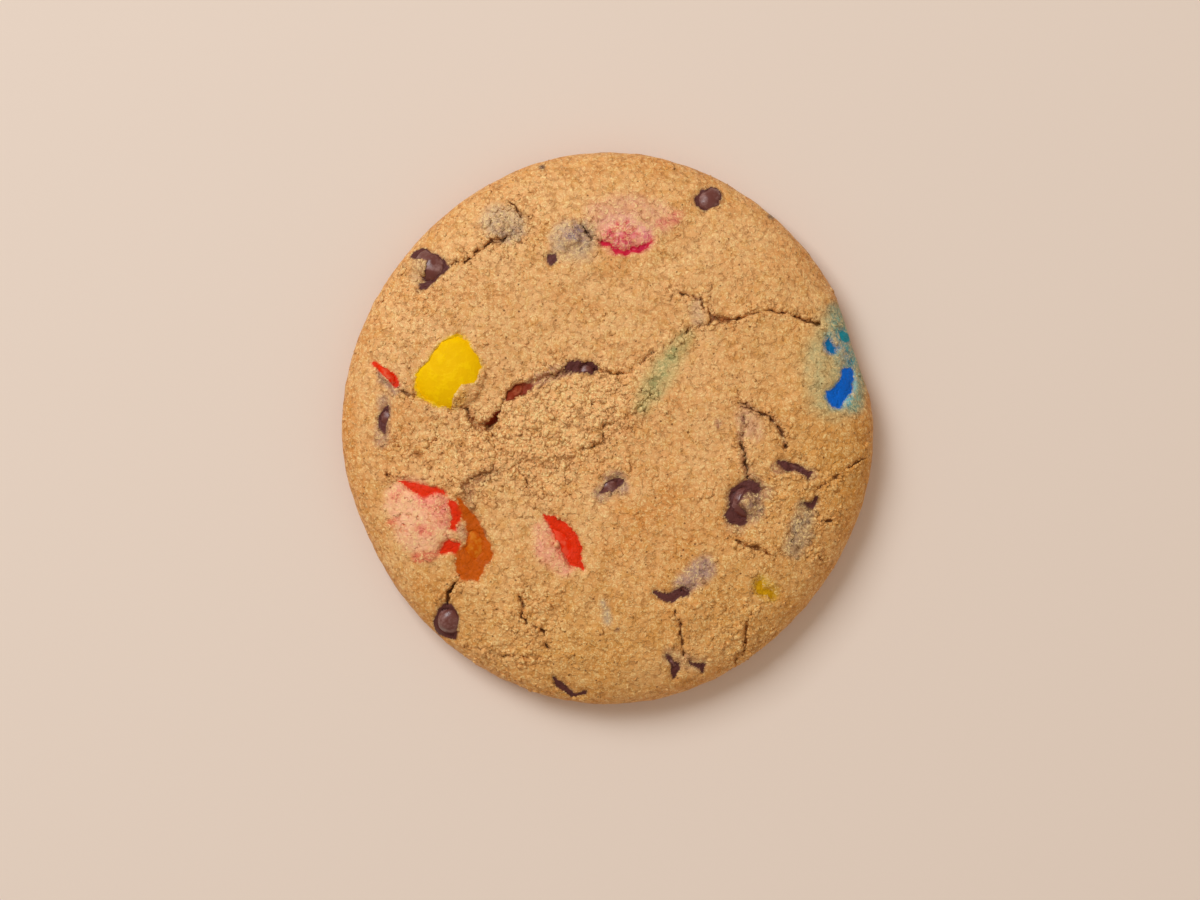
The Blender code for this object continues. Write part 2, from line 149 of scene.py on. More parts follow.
CRACKS = (
    # the long crack across the middle
    Crack(1.0, (
        (-34.3, 6.7, 0.15), (-33.1, 5.8, 0.2), (-32.4, 5.2, 0.2), (-31.2, 5.2, 0.15), (-29.0, 4.2, 0.1),
    )),
    Crack(0.9, ((-25.8, 3.1, 0.2), (-24.3, 3.5, 0.35), (-22.8, 3.2, 0.3), (-22.6, 1.6, 0.25))),
    Crack(0.9, ((-22.6, 1.6, 0.25), (-21.5, 0.2, 0.5), (-19.6, -0.2, 0.6))),
    Crack(0.7, ((-31.2, -4.1, 0.3), (-30.4, -4.5, 0.45), (-29.6, -5.4, 0.1))),
    Crack(0.5, ((-34.6, -2.0, 0.0), (-33.6, -3.2, 0.1), (-32.8, -3.7, 0.1))),
    Crack(0.5, ((-28.8, -2.4, 0.1), (-27.9, -2.0, 0.1))),
    Crack(1.8, (
        (-19.6, 0.2, 0.6), (-18.2, 1.4, 0.5), (-17.2, 3.0, 0.3), (-16.8, 4.6, 0.4), (-14.6, 6.2, 0.8),
    )),
    Crack(0.8, (
        (-14.6, 6.2, 0.8), (-12.4, 7.2, 0.6), (-9.9, 8.1, 0.7), (-6.3, 9.4, 0.5), (-3.8, 9.8, 0.7),
    )),
    Crack(1.3, ((-3.8, 9.8, 0.7), (-1.8, 9.4, 0.3), (0.4, 8.9, 0.2), (2.6, 8.9, 0.15), (4.6, 10.0, 0.1))),
    Crack(0.9, (
        (4.6, 10.0, 0.1), (6.9, 12.0, 0.1), (10.2, 13.8, 0.0), (11.0, 14.3, 0.1), (11.8, 14.8, 0.15),
    )),
    Crack(0.9, (
        (11.8, 14.8, 0.2), (13.0, 16.0, 0.2), (14.7, 16.3, 0.15), (16.1, 16.7, 0.2), (17.0, 17.6, 0.2),
    )),
    Crack(1.2, (
        (17.3, 18.0, 0.35), (18.6, 17.6, 0.45), (20.1, 17.4, 0.2), (21.2, 17.7, 0.15), (23.8, 18.7, 0.2),
    )),
    Crack(1.0, (
        (21.2, 17.7, 0.1), (23.8, 18.7, 0.15), (25.7, 19.1, 0.15), (27.2, 18.9, 0.25), (29.5, 18.6, 0.15),
    )),
    Crack(1.1, ((29.5, 18.6, 0.05), (31.4, 17.7, 0.3), (34.2, 17.0, 0.3))),
    Crack(1.0, (
        (17.3, 18.0, 0.3), (16.5, 18.6, 0.2), (15.8, 19.4, 0.15), (15.2, 20.9, 0.2), (13.0, 21.4, 0.2),
        (10.1, 22.4, 0.0),
    )),
    # down from it, past the left red candy
    Crack(1.0, ((-19.4, 0.6, 0.2), (-18.3, -1.9, 0.0), (-18.3, -4.4, 0.0), (-18.6, -6.4, 0.1))),
    Crack(0.8, ((-18.0, -6.8, 0.3), (-20.6, -7.8, 0.6), (-22.6, -9.2, 1.0), (-22.9, -11.6, 0.8))),
    # under the raised middle
    Crack(0.7, (
        (-18.4, -7.2, 0.1), (-15.7, -7.2, 0.05), (-14.2, -5.5, -0.1), (-9.6, -5.5, -0.2), (-5.6, -5.0, 0.0),
    )),
    Crack(0.8, (
        (-5.6, -5.0, 0.0), (-4.0, -3.5, 0.1), (-0.8, -2.4, 0.1), (-0.5, 0.4, 0.05), (2.8, 1.6, 0.0),
    )),
    Crack(0.8, ((2.8, 1.6, 0.0), (4.6, 2.4, 0.1), (5.6, 3.9, 0.0), (7.1, 5.5, 0.0))),
    Crack(0.8, ((-14.6, -6.6, 0.1), (-13.2, -8.6, 0.15), (-12.8, -10.0, 0.1))),
    # upper left, beside the chips
    Crack(1.2, (
        (-25.6, 26.6, 0.3), (-23.6, 27.0, 0.15), (-21.5, 28.6, 0.3), (-20.1, 29.4, 0.2), (-18.9, 30.6, 0.3),
    )),
    Crack(1.3, ((-18.9, 30.6, 0.4), (-17.6, 30.4, 0.35), (-16.6, 31.0, 0.3))),
    Crack(0.9, ((-16.6, 31.0, 0.1), (-15.2, 31.2, 0.05), (-14.2, 32.6, 0.05), (-13.4, 34.1, 0.15))),
    Crack(1.3, ((-17.6, 37.6, 0.05), (-14.9, 36.0, 0.2), (-14.0, 34.5, 0.25))),
    Crack(1.2, ((-4.1, 32.9, 0.15), (-3.0, 31.1, 0.25), (-2.3, 30.5, 0.3), (-1.2, 30.3, 0.1))),
    # by the left red candy
    Crack(0.7, ((-36.3, -7.7, 0.1), (-35.0, -7.9, 0.15), (-33.5, -8.3, 0.1))),
    # right of the middle
    Crack(1.2, (
        (20.1, 4.7, 0.0), (21.8, 3.7, 0.2), (25.6, 2.2, 0.25), (27.4, 0.9, 0.15), (28.4, -1.4, 0.15),
        (28.9, -3.1, 0.25),
    )),
    Crack(1.2, (
        (22.1, 2.1, 0.1), (22.1, -0.7, 0.1), (21.4, -2.1, 0.25), (22.1, -4.0, 0.2), (22.8, -8.2, 0.2),
    )),
    Crack(0.7, ((33.0, -10.6, 0.2), (36.6, -8.5, 0.2), (39.9, -6.0, 0.2), (42.4, -4.6, 0.2))),
    Crack(0.9, ((34.2, -13.8, 0.2), (35.3, -15.1, 0.25), (37.1, -15.1, 0.15))),
    Crack(0.9, ((33.7, -20.4, 0.15), (35.3, -22.0, 0.15))),
    Crack(0.9, ((20.5, -18.2, 0.2), (22.6, -19.2, 0.3), (24.3, -19.7, 0.25), (26.4, -20.4, 0.15))),
    # lower edge
    Crack(1.4, ((-24.8, -25.3, 0.2), (-26.1, -27.0, 0.35), (-26.4, -28.8, 0.3))),
    Crack(1.2, ((-15.0, -26.8, 0.1), (-13.8, -28.2, 0.2), (-14.0, -30.8, 0.2), (-12.8, -32.1, 0.2))),
    Crack(1.2, ((-12.8, -32.1, 0.2), (-10.4, -33.1, 0.15), (-10.2, -35.1, 0.15), (-9.7, -35.8, 0.1))),
    Crack(0.9, ((-13.9, -28.0, 0.1), (-11.9, -28.1, 0.1))),
    Crack(0.8, ((-21.1, -36.1, 0.1), (-18.8, -37.2, 0.15), (-14.0, -37.4, 0.15), (-10.9, -37.5, 0.1))),
    Crack(0.9, ((10.9, -29.6, 0.1), (11.8, -32.1, 0.2), (11.9, -34.6, 0.15), (12.4, -37.2, 0.1))),
    Crack(1.2, (
        (23.3, -30.4, 0.15), (22.6, -31.8, 0.25), (22.6, -34.9, 0.25), (21.3, -37.8, 0.5),
        (20.5, -39.4, 0.2),
    )),
)

# A crack whose half-width stays under this is a thin dark line
THIN_CRACK = 0.42
THIN_CRACKS = tuple(crack for crack in CRACKS if max(width for _, _, width in crack.points) < THIN_CRACK)

# The colours that show in the windows and bleed round them, dough without a stain, and worn shell
YELLOW_BLEED = shade(236, 186, 8)
RED_BLEED = shade(226, 46, 2)
ORANGE_BLEED = shade(196, 86, 0)
PINK_BLEED = shade(204, 24, 56)
BLUE_BLEED = shade(0, 98, 204)
BROWN_BLEED = shade(134, 50, 24)
CHOCOLATE_BLEED = shade(94, 50, 46)
UNSTAINED = shade(180, 120, 80)
WORN_SHELL = shade(232, 160, 112)

# Streaks of magenta that run out from the candy under the crust: their middle, where they start and end,
# how many there are, how flat their ring is, and their half-width
STREAKS_MIDDLE = (1.8, 31.6)
STREAKS_FROM = 1.0
STREAKS_TO = 2.6
STREAKS = 11
STREAKS_SQUASH = 0.8
STREAK_WIDTH = 0.08

YELLOW_OUTLINE = (
    (-24.3, 15.3), (-22.8, 14.1), (-20.6, 10.0), (-21.5, 7.5), (-23.9, 7.2), (-25.2, 5.2), (-25.6, 3.1),
    (-26.6, 3.4), (-28.9, 4.2), (-31.0, 5.2), (-31.5, 6.8), (-31.0, 8.8), (-29.0, 11.3), (-26.9, 14.1),
)
RED_LEFT_OUTLINES = (
    (
        (-34.0, -8.7), (-30.2, -9.3), (-26.8, -10.2), (-26.6, -10.6), (-28.8, -10.5), (-30.3, -11.1),
        (-32.8, -9.7),
    ),
    (
        (-25.9, -11.6), (-24.1, -12.8), (-23.8, -14.4), (-25.0, -16.4), (-25.7, -16.3), (-25.3, -14.5),
        (-25.6, -13.0),
    ),
    ((-27.4, -20.3), (-26.6, -18.9), (-25.8, -18.4), (-24.1, -18.7), (-24.4, -20.5), (-25.6, -20.0)),
)
ORANGE_OUTLINE = (
    (-24.4, -11.3), (-22.5, -13.4), (-21.1, -15.4), (-20.6, -16.4), (-19.5, -18.7), (-18.8, -20.5),
    (-20.0, -22.2), (-21.1, -24.7), (-23.9, -24.7), (-24.8, -23.0), (-24.8, -20.9), (-23.1, -19.2),
    (-22.8, -17.2), (-23.1, -15.3), (-23.9, -12.8),
)
RED_RIGHT_OUTLINE = (
    (-10.5, -14.3), (-9.1, -14.4), (-7.0, -15.4), (-5.3, -17.0), (-4.5, -19.1), (-4.5, -21.9),
    (-3.9, -23.0), (-5.8, -22.4), (-7.4, -20.0), (-8.6, -17.7), (-9.5, -15.6),
)
BLUE_OUTLINE = (
    (38.8, 9.8), (39.9, 9.65), (40.2, 8.7), (39.9, 7.5), (39.7, 5.9), (38.5, 4.5), (37.8, 3.4), (36.6, 3.4),
    (35.7, 4.9), (35.7, 5.9), (37.3, 6.6), (38.0, 8.0), (38.3, 9.2),
)
CHIP_OUTLINES = (
    (
        (14.1, 37.6), (15.5, 38.9), (16.9, 39.4), (18.1, 39.0), (18.5, 37.7), (17.9, 36.6), (15.7, 35.6),
        (14.5, 36.3),
    ),
    (
        (-32.2, 28.2), (-31.5, 29.1), (-30.4, 29.4), (-29.2, 28.7), (-28.2, 28.1), (-26.8, 27.4),
        (-25.9, 26.5), (-26.1, 25.8), (-27.1, 25.2), (-28.2, 24.0), (-29.4, 23.0), (-30.7, 22.4),
        (-30.6, 23.4), (-29.4, 23.8), (-30.4, 24.7), (-29.2, 27.5), (-30.6, 28.0), (-31.8, 27.9),
    ),
    ((-35.9, 3.6), (-35.7, 2.2), (-36.2, 0.6), (-36.4, -0.6), (-37.2, 0.2), (-37.5, 1.4), (-36.9, 2.7)),
    ((-1.3, -10.6), (-0.4, -8.9), (1.0, -8.5), (2.4, -8.3), (1.8, -9.4), (0.6, -10.3)),
    (
        (19.0, -14.2), (19.8, -12.0), (20.0, -10.1), (21.2, -9.0), (23.1, -8.6), (24.5, -9.2),
        (25.0, -10.1), (24.0, -10.6), (22.8, -9.9), (21.6, -10.9), (21.2, -12.6), (22.4, -13.7),
        (22.6, -15.3), (21.4, -16.0), (19.8, -15.3),
    ),
    (
        (-26.6, -28.6), (-27.6, -29.8), (-28.4, -31.7), (-28.3, -32.9), (-27.2, -34.1), (-25.0, -34.6),
        (-24.8, -33.4), (-24.4, -31.7), (-24.8, -30.1), (-25.7, -28.9),
    ),
    (
        (-9.0, -40.7), (-8.4, -42.2), (-7.2, -43.3), (-5.6, -44.0), (-3.7, -43.6), (-3.8, -43.2),
        (-5.3, -43.5), (-6.5, -42.6), (-7.9, -41.4),
    ),
    ((9.5, -37.1), (10.4, -38.5), (10.7, -40.9), (11.7, -39.5), (11.4, -38.5), (10.2, -37.4)),
)
CHIP_STROKES = (
    ((-9.1, 27.5, 0.7),),
    ((-6.3, 9.9, 0.6), (-4.6, 9.9, 0.9), (-3.0, 9.8, 0.9), (-2.0, 9.6, 0.4)),
    (
        (28.0, -5.6, 0.3), (29.2, -6.4, 0.6), (30.6, -6.3, 0.5), (31.6, -7.0, 0.4), (32.6, -7.7, 0.4),
        (33.1, -7.2, 0.2),
    ),
    ((7.7, -26.6, 0.2), (8.9, -27.3, 0.5), (10.0, -27.7, 0.6), (11.2, -27.2, 0.5), (12.3, -26.5, 0.8)),
    ((32.2, -12.4, 0.2), (33.1, -13.0, 0.3), (34.1, -11.3, 0.15)),
    ((13.5, -38.3, 0.15), (14.4, -38.8, 0.2), (15.4, -39.0, 0.3), (15.6, -39.7, 0.15)),
)

WINDOWS = (
    Window(YELLOW_BLEED, 0.4, 1.0, YELLOW_OUTLINE),
    *(Window(RED_BLEED, 0.6, 1.0, outline) for outline in RED_LEFT_OUTLINES),
    Window(ORANGE_BLEED, 0.5, 1.0, ORANGE_OUTLINE),
    Window(RED_BLEED, 0.4, 1.0, RED_RIGHT_OUTLINE),
    Window(PINK_BLEED, 0.6, 1.0, ((-0.9, 30.0, 0.2), (0.5, 29.6, 0.2), (1.4, 28.7, 0.3), (2.8, 28.4, 0.3))),
    Window(PINK_BLEED, 0.6, 1.0, (
        (2.8, 28.4, 0.3), (3.8, 28.9, 0.2), (5.0, 28.9, 0.3), (6.1, 29.6, 0.25), (7.1, 30.5, 0.0),
    )),
    Window(BLUE_BLEED, 0.4, 1.0, BLUE_OUTLINE),
    Window(shade(8, 112, 172), 1.0, 1.0, ((35.9, 14.0, 0.2), (36.3, 13.1, 0.5), (37.0, 12.9, 0.2))),
    Window(shade(20, 146, 166), 1.1, 1.0, ((38.5, 15.2, 0.5), (39.1, 14.8, 0.6))),
    Window(RED_BLEED, 0.4, 1.0, (
        (-38.5, 10.5, 0.2), (-37.3, 9.8, 0.4), (-36.2, 9.1, 0.5), (-35.0, 7.9, 0.5), (-34.4, 6.9, 0.2),
    )),
    Window(BROWN_BLEED, 0.5, 1.0, ((-19.6, 0.8, 0.3), (-18.3, 1.7, 0.45), (-17.6, 2.8, 0.0))),
    Window(BROWN_BLEED, 0.5, 1.0, (
        (-16.6, 4.5, 0.0), (-15.8, 5.3, 0.5), (-14.5, 6.1, 0.9), (-12.9, 6.6, 0.6),
    )),
    Window(shade(204, 148, 0), 1.0, 1.0, (
        (24.7, -25.2, 0.2), (24.7, -26.4, 0.5), (26.4, -26.9, 0.45), (26.8, -27.6, 0.1),
    )),
    *(Window(CHOCOLATE_BLEED, 0.5, 1.0, outline) for outline in (*CHIP_OUTLINES, *CHIP_STROKES)),
)

STAINS = (
    # from the candies
    Stain(shade(226, 184, 96), 1.2, 0.3, YELLOW_OUTLINE),
    Stain(shade(204, 152, 40), 1.0, 0.5, ((-25.0, 4.0, 0.6), (-23.6, 5.2, 0.4))),
    Stain(shade(246, 180, 142), 2.2, 0.92, ((-32.4, -12.2, 3.0), (-30.0, -15.2, 4.2))),
    Stain(shade(236, 128, 112), 1.8, 0.8, ((-30.2, -11.2, 0.6), (-27.8, -12.4, 1.0), (-26.6, -15.0, 0.5))),
    Stain(shade(222, 104, 84), 1.1, 0.6, ((-34.0, -10.6, 0.3), (-34.8, -11.4, 0.3))),
    Stain(shade(222, 90, 60), 0.9, 0.6, ((-35.6, -15.6, 0.3), (-34.8, -15.4, 0.3))),
    Stain(shade(226, 96, 84), 1.0, 0.6, ((-30.8, -16.4, 0.3), (-28.8, -16.8, 0.3))),
    Stain(shade(214, 74, 70), 1.0, 0.75, ((-31.4, -21.2, 0.2), (-29.6, -21.0, 0.4), (-28.0, -20.6, 0.2))),
    Stain(shade(206, 136, 72), 1.0, 0.7, ORANGE_OUTLINE),
    Stain(shade(236, 158, 128), 1.8, 0.85, ((-10.4, -16.8, 0.8), (-9.6, -19.6, 1.5), (-7.0, -22.4, 0.8))),
    Stain(shade(226, 110, 84), 0.8, 0.6, ((-9.0, -17.6, 0.4), (-7.4, -20.6, 0.4), (-5.8, -22.6, 0.4))),
    Stain(shade(240, 160, 150), 2.0, 0.95, ((0.6, 32.6, 1.2), (2.4, 31.6, 2.2), (5.0, 31.0, 1.2))),
    Stain(shade(220, 92, 108), 1.4, 0.6, (
        (-0.6, 30.4, 0.4), (1.6, 29.8, 0.8), (4.6, 29.8, 0.7), (6.6, 30.6, 0.4),
    )),
    Stain(shade(218, 154, 126), 2.4, 0.65, ((-1.2, 35.0, 1.2), (4.0, 35.4, 1.6), (8.4, 34.2, 1.2))),
    Stain(shade(226, 124, 104), 1.1, 0.75, ((8.6, 33.2, 0.2), (10.2, 33.6, 0.4), (11.6, 34.6, 0.3))),
    Stain(shade(188, 172, 122), 3.6, 0.85, ((37.0, 17.0, 1.0), (36.2, 11.0, 2.8), (36.6, 5.6, 2.4))),
    Stain(shade(118, 160, 142), 2.4, 0.85, (
        (38.2, 18.6, 0.8), (38.8, 14.0, 1.2), (40.4, 8.6, 0.9), (39.8, 4.2, 0.8),
    )),
    Stain(shade(84, 156, 162), 1.4, 0.85, ((36.8, 14.2, 0.9), (38.8, 12.8, 0.5), (39.9, 10.6, 0.5))),
    Stain(shade(30, 130, 160), 0.5, 0.85, ((37.6, 13.9, 0.1), (38.7, 12.4, 0.1), (39.6, 10.6, 0.15))),
    Stain(shade(40, 130, 150), 0.5, 0.8, ((38.2, 3.6, 0.2), (39.2, 3.9, 0.15), (39.6, 5.0, 0.1))),
    Stain(shade(90, 156, 160), 0.9, 0.85, BLUE_OUTLINE),
    Stain(shade(126, 184, 190), 0.5, 0.8, (
        (40.6, 8.6, 0.0), (40.5, 6.8, 0.1), (39.9, 5.2, 0.1), (39.2, 4.2, 0.3),
    )),
    Stain(shade(170, 166, 140), 0.8, 0.7, ((37.0, 14.6, 0.3), (38.0, 12.6, 0.2), (38.6, 11.2, 0.2))),
    Stain(shade(180, 166, 108), 2.2, 0.75, (
        (12.6, 14.6, 0.2), (9.6, 10.2, 1.0), (7.4, 6.6, 1.1), (5.6, 3.6, 0.3),
    )),
    Stain(shade(140, 148, 96), 1.3, 0.45, ((7.2, 6.0, 0.4), (8.6, 9.0, 0.5), (10.4, 12.4, 0.3))),
    Stain(shade(216, 172, 60), 1.6, 0.8, ((25.0, -25.4, 0.6), (26.4, -26.8, 0.6))),
    # from the chips
    Stain(shade(150, 112, 106), 1.2, 0.75, ((-36.8, 8.2, 0.3), (-34.8, 6.4, 0.4))),
    Stain(shade(164, 128, 112), 1.5, 0.7, ((-36.4, 4.4, 0.3), (-37.0, -2.0, 0.5))),
    Stain(shade(200, 168, 134), 1.8, 0.85, ((-18.2, 33.8, 1.8), (-16.2, 33.0, 2.0))),
    Stain(shade(160, 130, 112), 1.2, 0.7, ((-17.2, 31.6, 0.6), (-14.8, 31.8, 0.5))),
    Stain(shade(186, 156, 130), 1.9, 0.85, ((-7.0, 31.2, 1.5), (-4.4, 31.2, 1.7))),
    Stain(shade(146, 118, 120), 1.3, 0.95, ((-6.2, 31.4, 0.3), (-5.0, 31.4, 0.9), (-4.4, 30.4, 0.3))),
    Stain(shade(186, 152, 120), 1.4, 0.6, ((-3.6, 28.6, 0.9), (-8.4, 28.4, 0.5))),
    Stain(shade(206, 150, 118), 0.8, 0.8, ((-24.0, -16.2, 0.5), (-23.6, -17.8, 0.3))),
    Stain(shade(116, 66, 56), 0.5, 0.85, ((-20.4, -17.2, 0.3),)),
    Stain(shade(188, 150, 116), 1.4, 0.6, ((-30.6, 26.6, 1.0), (-31.0, 24.6, 0.6))),
    Stain(shade(162, 126, 110), 1.6, 0.8, ((-1.2, -10.8, 0.5), (1.2, -8.6, 0.9), (2.2, -9.6, 0.5))),
    Stain(shade(164, 130, 122), 1.7, 0.85, ((12.4, -25.4, 0.8), (15.6, -22.9, 1.2))),
    Stain(shade(162, 132, 104), 1.8, 0.9, ((32.2, -13.6, 0.8), (31.2, -17.0, 1.2), (30.3, -19.6, 0.8))),
    Stain(shade(152, 116, 98), 1.3, 0.95, ((23.2, -11.6, 1.2), (23.8, -13.8, 1.0))),
    Stain(shade(160, 116, 92), 1.3, 0.7, (
        (20.8, -15.4, 1.2), (20.4, -12.0, 0.6), (23.4, -9.2, 1.2), (25.6, -10.6, 0.5),
    )),
    Stain(shade(158, 104, 84), 1.0, 0.7, ((27.6, -6.6, 0.7), (29.4, -6.2, 0.3), (33.2, -7.6, 0.5))),
    Stain(shade(184, 112, 58), 0.6, 0.85, ((17.6, 17.9, 0.3), (20.0, 17.4, 0.2))),
    Stain(shade(200, 160, 126), 1.2, 0.6, ((14.4, 20.0, 0.5), (14.6, 17.6, 0.6))),
    Stain(shade(206, 156, 126), 1.6, 0.6, ((22.4, 1.6, 1.0), (23.8, -0.6, 0.9))),
    Stain(shade(150, 92, 74), 0.7, 0.7, ((22.1, 2.1, 0.1), (21.4, -2.1, 0.2), (22.8, -8.2, 0.2))),
    Stain(shade(150, 92, 74), 0.6, 0.5, (
        (21.8, 3.7, 0.1), (25.6, 2.2, 0.1), (27.4, 0.9, 0.1), (28.9, -3.1, 0.1),
    )),
    Stain(shade(158, 152, 138), 1.0, 0.6, ((-0.8, -28.4, 0.1), (0.0, -31.4, 0.2))),
    Stain(shade(110, 80, 72), 0.5, 0.8, ((1.6, -33.0, 0.25),)),
    Stain(shade(186, 142, 112), 1.2, 0.5, ((10.2, -37.2, 0.8), (15.2, -38.8, 0.6))),
    Stain(shade(90, 62, 58), 0.4, 0.85, ((-10.9, 42.8, 0.4),)),
    Stain(shade(80, 52, 46), 0.3, 0.85, ((26.7, 34.7, 0.3),)),
    Stain(shade(160, 102, 82), 0.5, 0.8, ((17.8, 0.7, 0.4),)),
    Stain(shade(190, 134, 88), 0.8, 0.8, (
        (-18.4, -7.0, 0.3), (-20.8, -8.0, 0.6), (-22.6, -9.4, 1.0), (-22.8, -11.6, 0.7),
    )),
    Stain(shade(190, 124, 72), 0.8, 0.85, ((-22.0, 1.6, 0.5), (-20.0, 0.6, 0.8))),
    Stain(shade(188, 134, 104), 0.7, 0.95, ((-12.6, 7.2, 0.5), (-9.9, 8.3, 0.7), (-6.6, 9.4, 0.6))),
)

# Where the crust is more toasted, above 0, or paler, below 0: x, y, reach and amount
TOAST = (
    (10.0, -18.0, 11.0, 0.45),
    (5.0, -15.0, 7.0, 0.25),
    (41.0, -4.0, 8.0, 0.5),
    (8.0, 1.0, 7.0, 0.2),
    (-8.0, 2.0, 9.0, -0.6),
    (-28.0, -4.0, 8.0, -0.2),
    (0.0, 40.0, 12.0, 0.25),
    (-38.0, -2.0, 10.0, 0.45),
    (-31.0, -27.0, 6.0, 0.35),
)
# How much more toasted the rim is, from this share of the radius on, and the base, up to this height
RIM_TOAST = 0.5
RIM_TOAST_FROM = 0.90
RIM_TOAST_BAND = 0.10
BASE_TOAST = 1.6
BASE_TOAST_HEIGHT = 1.2
# Where the crust is more golden: x, y, reach and amount
GOLD = (
    (38.0, -6.0, 12.0, 0.9),
    (24.0, -30.0, 14.0, 0.8),
    (-4.0, -38.0, 14.0, 0.8),
    (-26.0, -30.0, 10.0, 0.5),
    (30.0, 14.0, 10.0, 0.4),
)
# Where the crumb is loose and coarse, above what it is everywhere: x, y, reach and amount
LOOSE_EVERYWHERE = 0.15
FLUFF = (
    (-8.0, 0.5, 9.0, 1.0),
    (-14.0, -2.0, 6.0, 0.8),
    (0.0, 5.0, 5.0, 0.6),
    (-24.0, -4.0, 7.0, 0.5),
    (-15.0, 34.0, 6.0, 0.4),
    (-32.0, 20.0, 7.0, 0.3),
    (30.0, -14.0, 7.0, 0.3),
    (-14.0, -33.0, 8.0, 0.4),
    (22.0, -34.0, 7.0, 0.4),
)

# The raised middle of the crust: how far it stands up, how far its edge slopes, and its outline
RAISED_HEIGHT = 0.32
RAISED_SLOPE = 1.1
RAISED_OUTLINE = (
    (-19.6, -0.6), (-18.4, 0.9), (-16.6, 2.6), (-14.2, 5.2), (-9.9, 7.1), (-3.8, 8.6), (2.0, 8.0),
    (5.3, 10.3), (7.8, 9.3), (7.1, 5.5), (5.6, 3.9), (4.6, 2.4), (1.0, 0.7), (-0.5, 0.4), (-0.8, -2.4),
    (-2.3, -3.1), (-4.0, -3.5), (-5.6, -5.0), (-9.6, -5.5), (-14.2, -5.5), (-15.7, -7.2), (-17.8, -7.2),
    (-18.1, -4.4), (-18.3, -1.9),
)

# The loose crumb: the pieces' names, how large their granules are for a middling one, and how many
CRUMB_SEED = 7
CRUMBS = (("crumb_fine", 0.70, 2600), ("crumb_medium", 1.05, 2400), ("crumb_coarse", 1.5, 800))
# How long, broad and thick a granule is for its size, how its size varies, and how lumpy and flattened it is
GRANULE_SHAPE = ((1.1, 1.8), (0.7, 1.0), (0.6, 0.9))
GRANULE_SIZES = (0.72, 1.28)
GRANULE_LUMPS = 0.15
GRANULE_FLATNESS = (0.35, 0.65)
# How far a granule's middle lies above the dough for its size, and how much smaller it is on a steep side
GRANULE_LIFT = (-0.20, 0.02)
STEEP_SHRINK = 0.6
# Granules keep this far out of the windows, gather this near to cracks, and are rarer on steep sides
WINDOW_CLEARANCE = 0.20
CRACK_CRUMBS = 1.4
CRACK_CRUMBS_REACH = 0.7
FLUFF_CRUMBS = 1.5
STEEP_LOSS = 0.8
# Granules lie at least so many times their size above the base, and so far from where a crack's shade starts
GRANULE_CLEARANCE = 1.4
CRACK_CLEARANCE = 0.1
# How much of its own height a granule's shading shows
GRANULE_RELIEF = 0.55

# The dough's grain: texture, kind and settings, width, height, middle level, and the points that it moves
SQUARED = {"distance_metric": "DISTANCE_SQUARED"}
DOUGH_GRAIN = (
    ("bulges", "CLOUDS", {"noise_depth": 1}, 2.6, 0.20, 0.5, "above"),
    ("clods", "VORONOI", SQUARED, 3.2, -0.50, 0.3, "loose"),
    ("grains", "VORONOI", SQUARED, 1.2, -0.20, 0.3, "loose"),
)
# How much of the clods and grains is left where the crumb is tight
LEAST_GRAIN = 0.1
# How many times the dough is smoothed to find what stands out from it
RELIEF_ROUNDS = 4

# The crumb's flakes, how far from a flake's middle the painted highlight on its edge lies, and how far apart
# these break
FLAKE = 1.15
SMALL_FLAKE = 0.6
CURL_RING = 0.40
CURL_BREAK_WIDTH = 0.6
# The widths of the crust's other patterns, and the height of its bump
BROAD_PATCH = 6.0
AMBER_PATCH = 1.8
MOTTLE = 1.3
BEND = 1.1
GRAIN = 0.30
GLINT = 0.22
PORE = 1.3
PORE_PATCH = 2.6
CRUST_BUMP = 0.20
# The widths of the patterns on the shells, the chocolate and the table
SHELL_PATCH = 2.6
SHELL_RUN = 1.5
SHELL_GRAIN = 0.5
CHOCOLATE_PATCH = 2.2
CHOCOLATE_GRAIN = 0.4
TABLE_PATCH = 60.0

# How finely the candies and chips are smoothed, how near points are joined, in metres, and how flat two
# triangles have to be to make a quad
SMOOTHING = 2
WELD = 1e-5
QUAD_ANGLE = math.radians(60)
# How uneven baking has left the shells and the chocolate: width and height
SHELL_DIMPLES = (2.4, 0.12)
CHOCOLATE_MELT = (1.8, 0.45)

# How far the cracks' and windows' edges stray, over what length, and the place in the noise
EDGE_SWAYS = ((0.34, 1.7, 31.0), (0.26, 0.75, 53.0))
CRACK_BREAK = (0.36, 1.3, 71.0)
CRACK_LIP = 0.15
CRACK_SLOPE = 0.40
WINDOW_LIP = 0.10
WINDOW_SLOPE = 0.40
CRACK_RIM_RISE = 0.12
CRACK_RIM_PLACE = 0.7
CRACK_RIM_WIDTH = 0.45
# How thick the dough lies over a candy or a chip, how far it lies under one that shows, how far round a
# window it is glazed, how deep bare windows are, and how much of a candy has to stand out of one to show
FILM = 0.25
UNDER = 0.35
GLAZE_REACH = 0.35
BARE_DEPTH = 0.5
RIM_SHOWN = 0.2
# How far the dough dips towards what shows in a window, and how far round the window
DIP = 0.7
DIP_REACH = 1.3

# The stage, in metres: the table, the lights with their places, sizes, powers in watts and colours, and the
# light from all round
TABLE_SIZE = 4
LIGHTS = (
    ("key_light", (-0.62, 0.68, 1.05), 0.72, 14.6, (0.91, 0.98, 1.03)),
    ("fill_light", (0.70, -0.45, 1.1), 1.6, 2.3, (1.0, 0.88, 0.74)),
)
SURROUND_COLOUR = (1.0, 0.865, 0.71, 1.0)
SURROUND_STRENGTH = 0.39
# The camera looks straight down at this point, in millimetres, and its picture spans so many metres there
CAMERA_AIM = (-1.3, -3.6, 4.0)
CAMERA_DISTANCE = 0.55
CAMERA_SPAN = 0.198
CAMERA_NEAREST = 0.01
SENSOR_WIDTH = 36.0


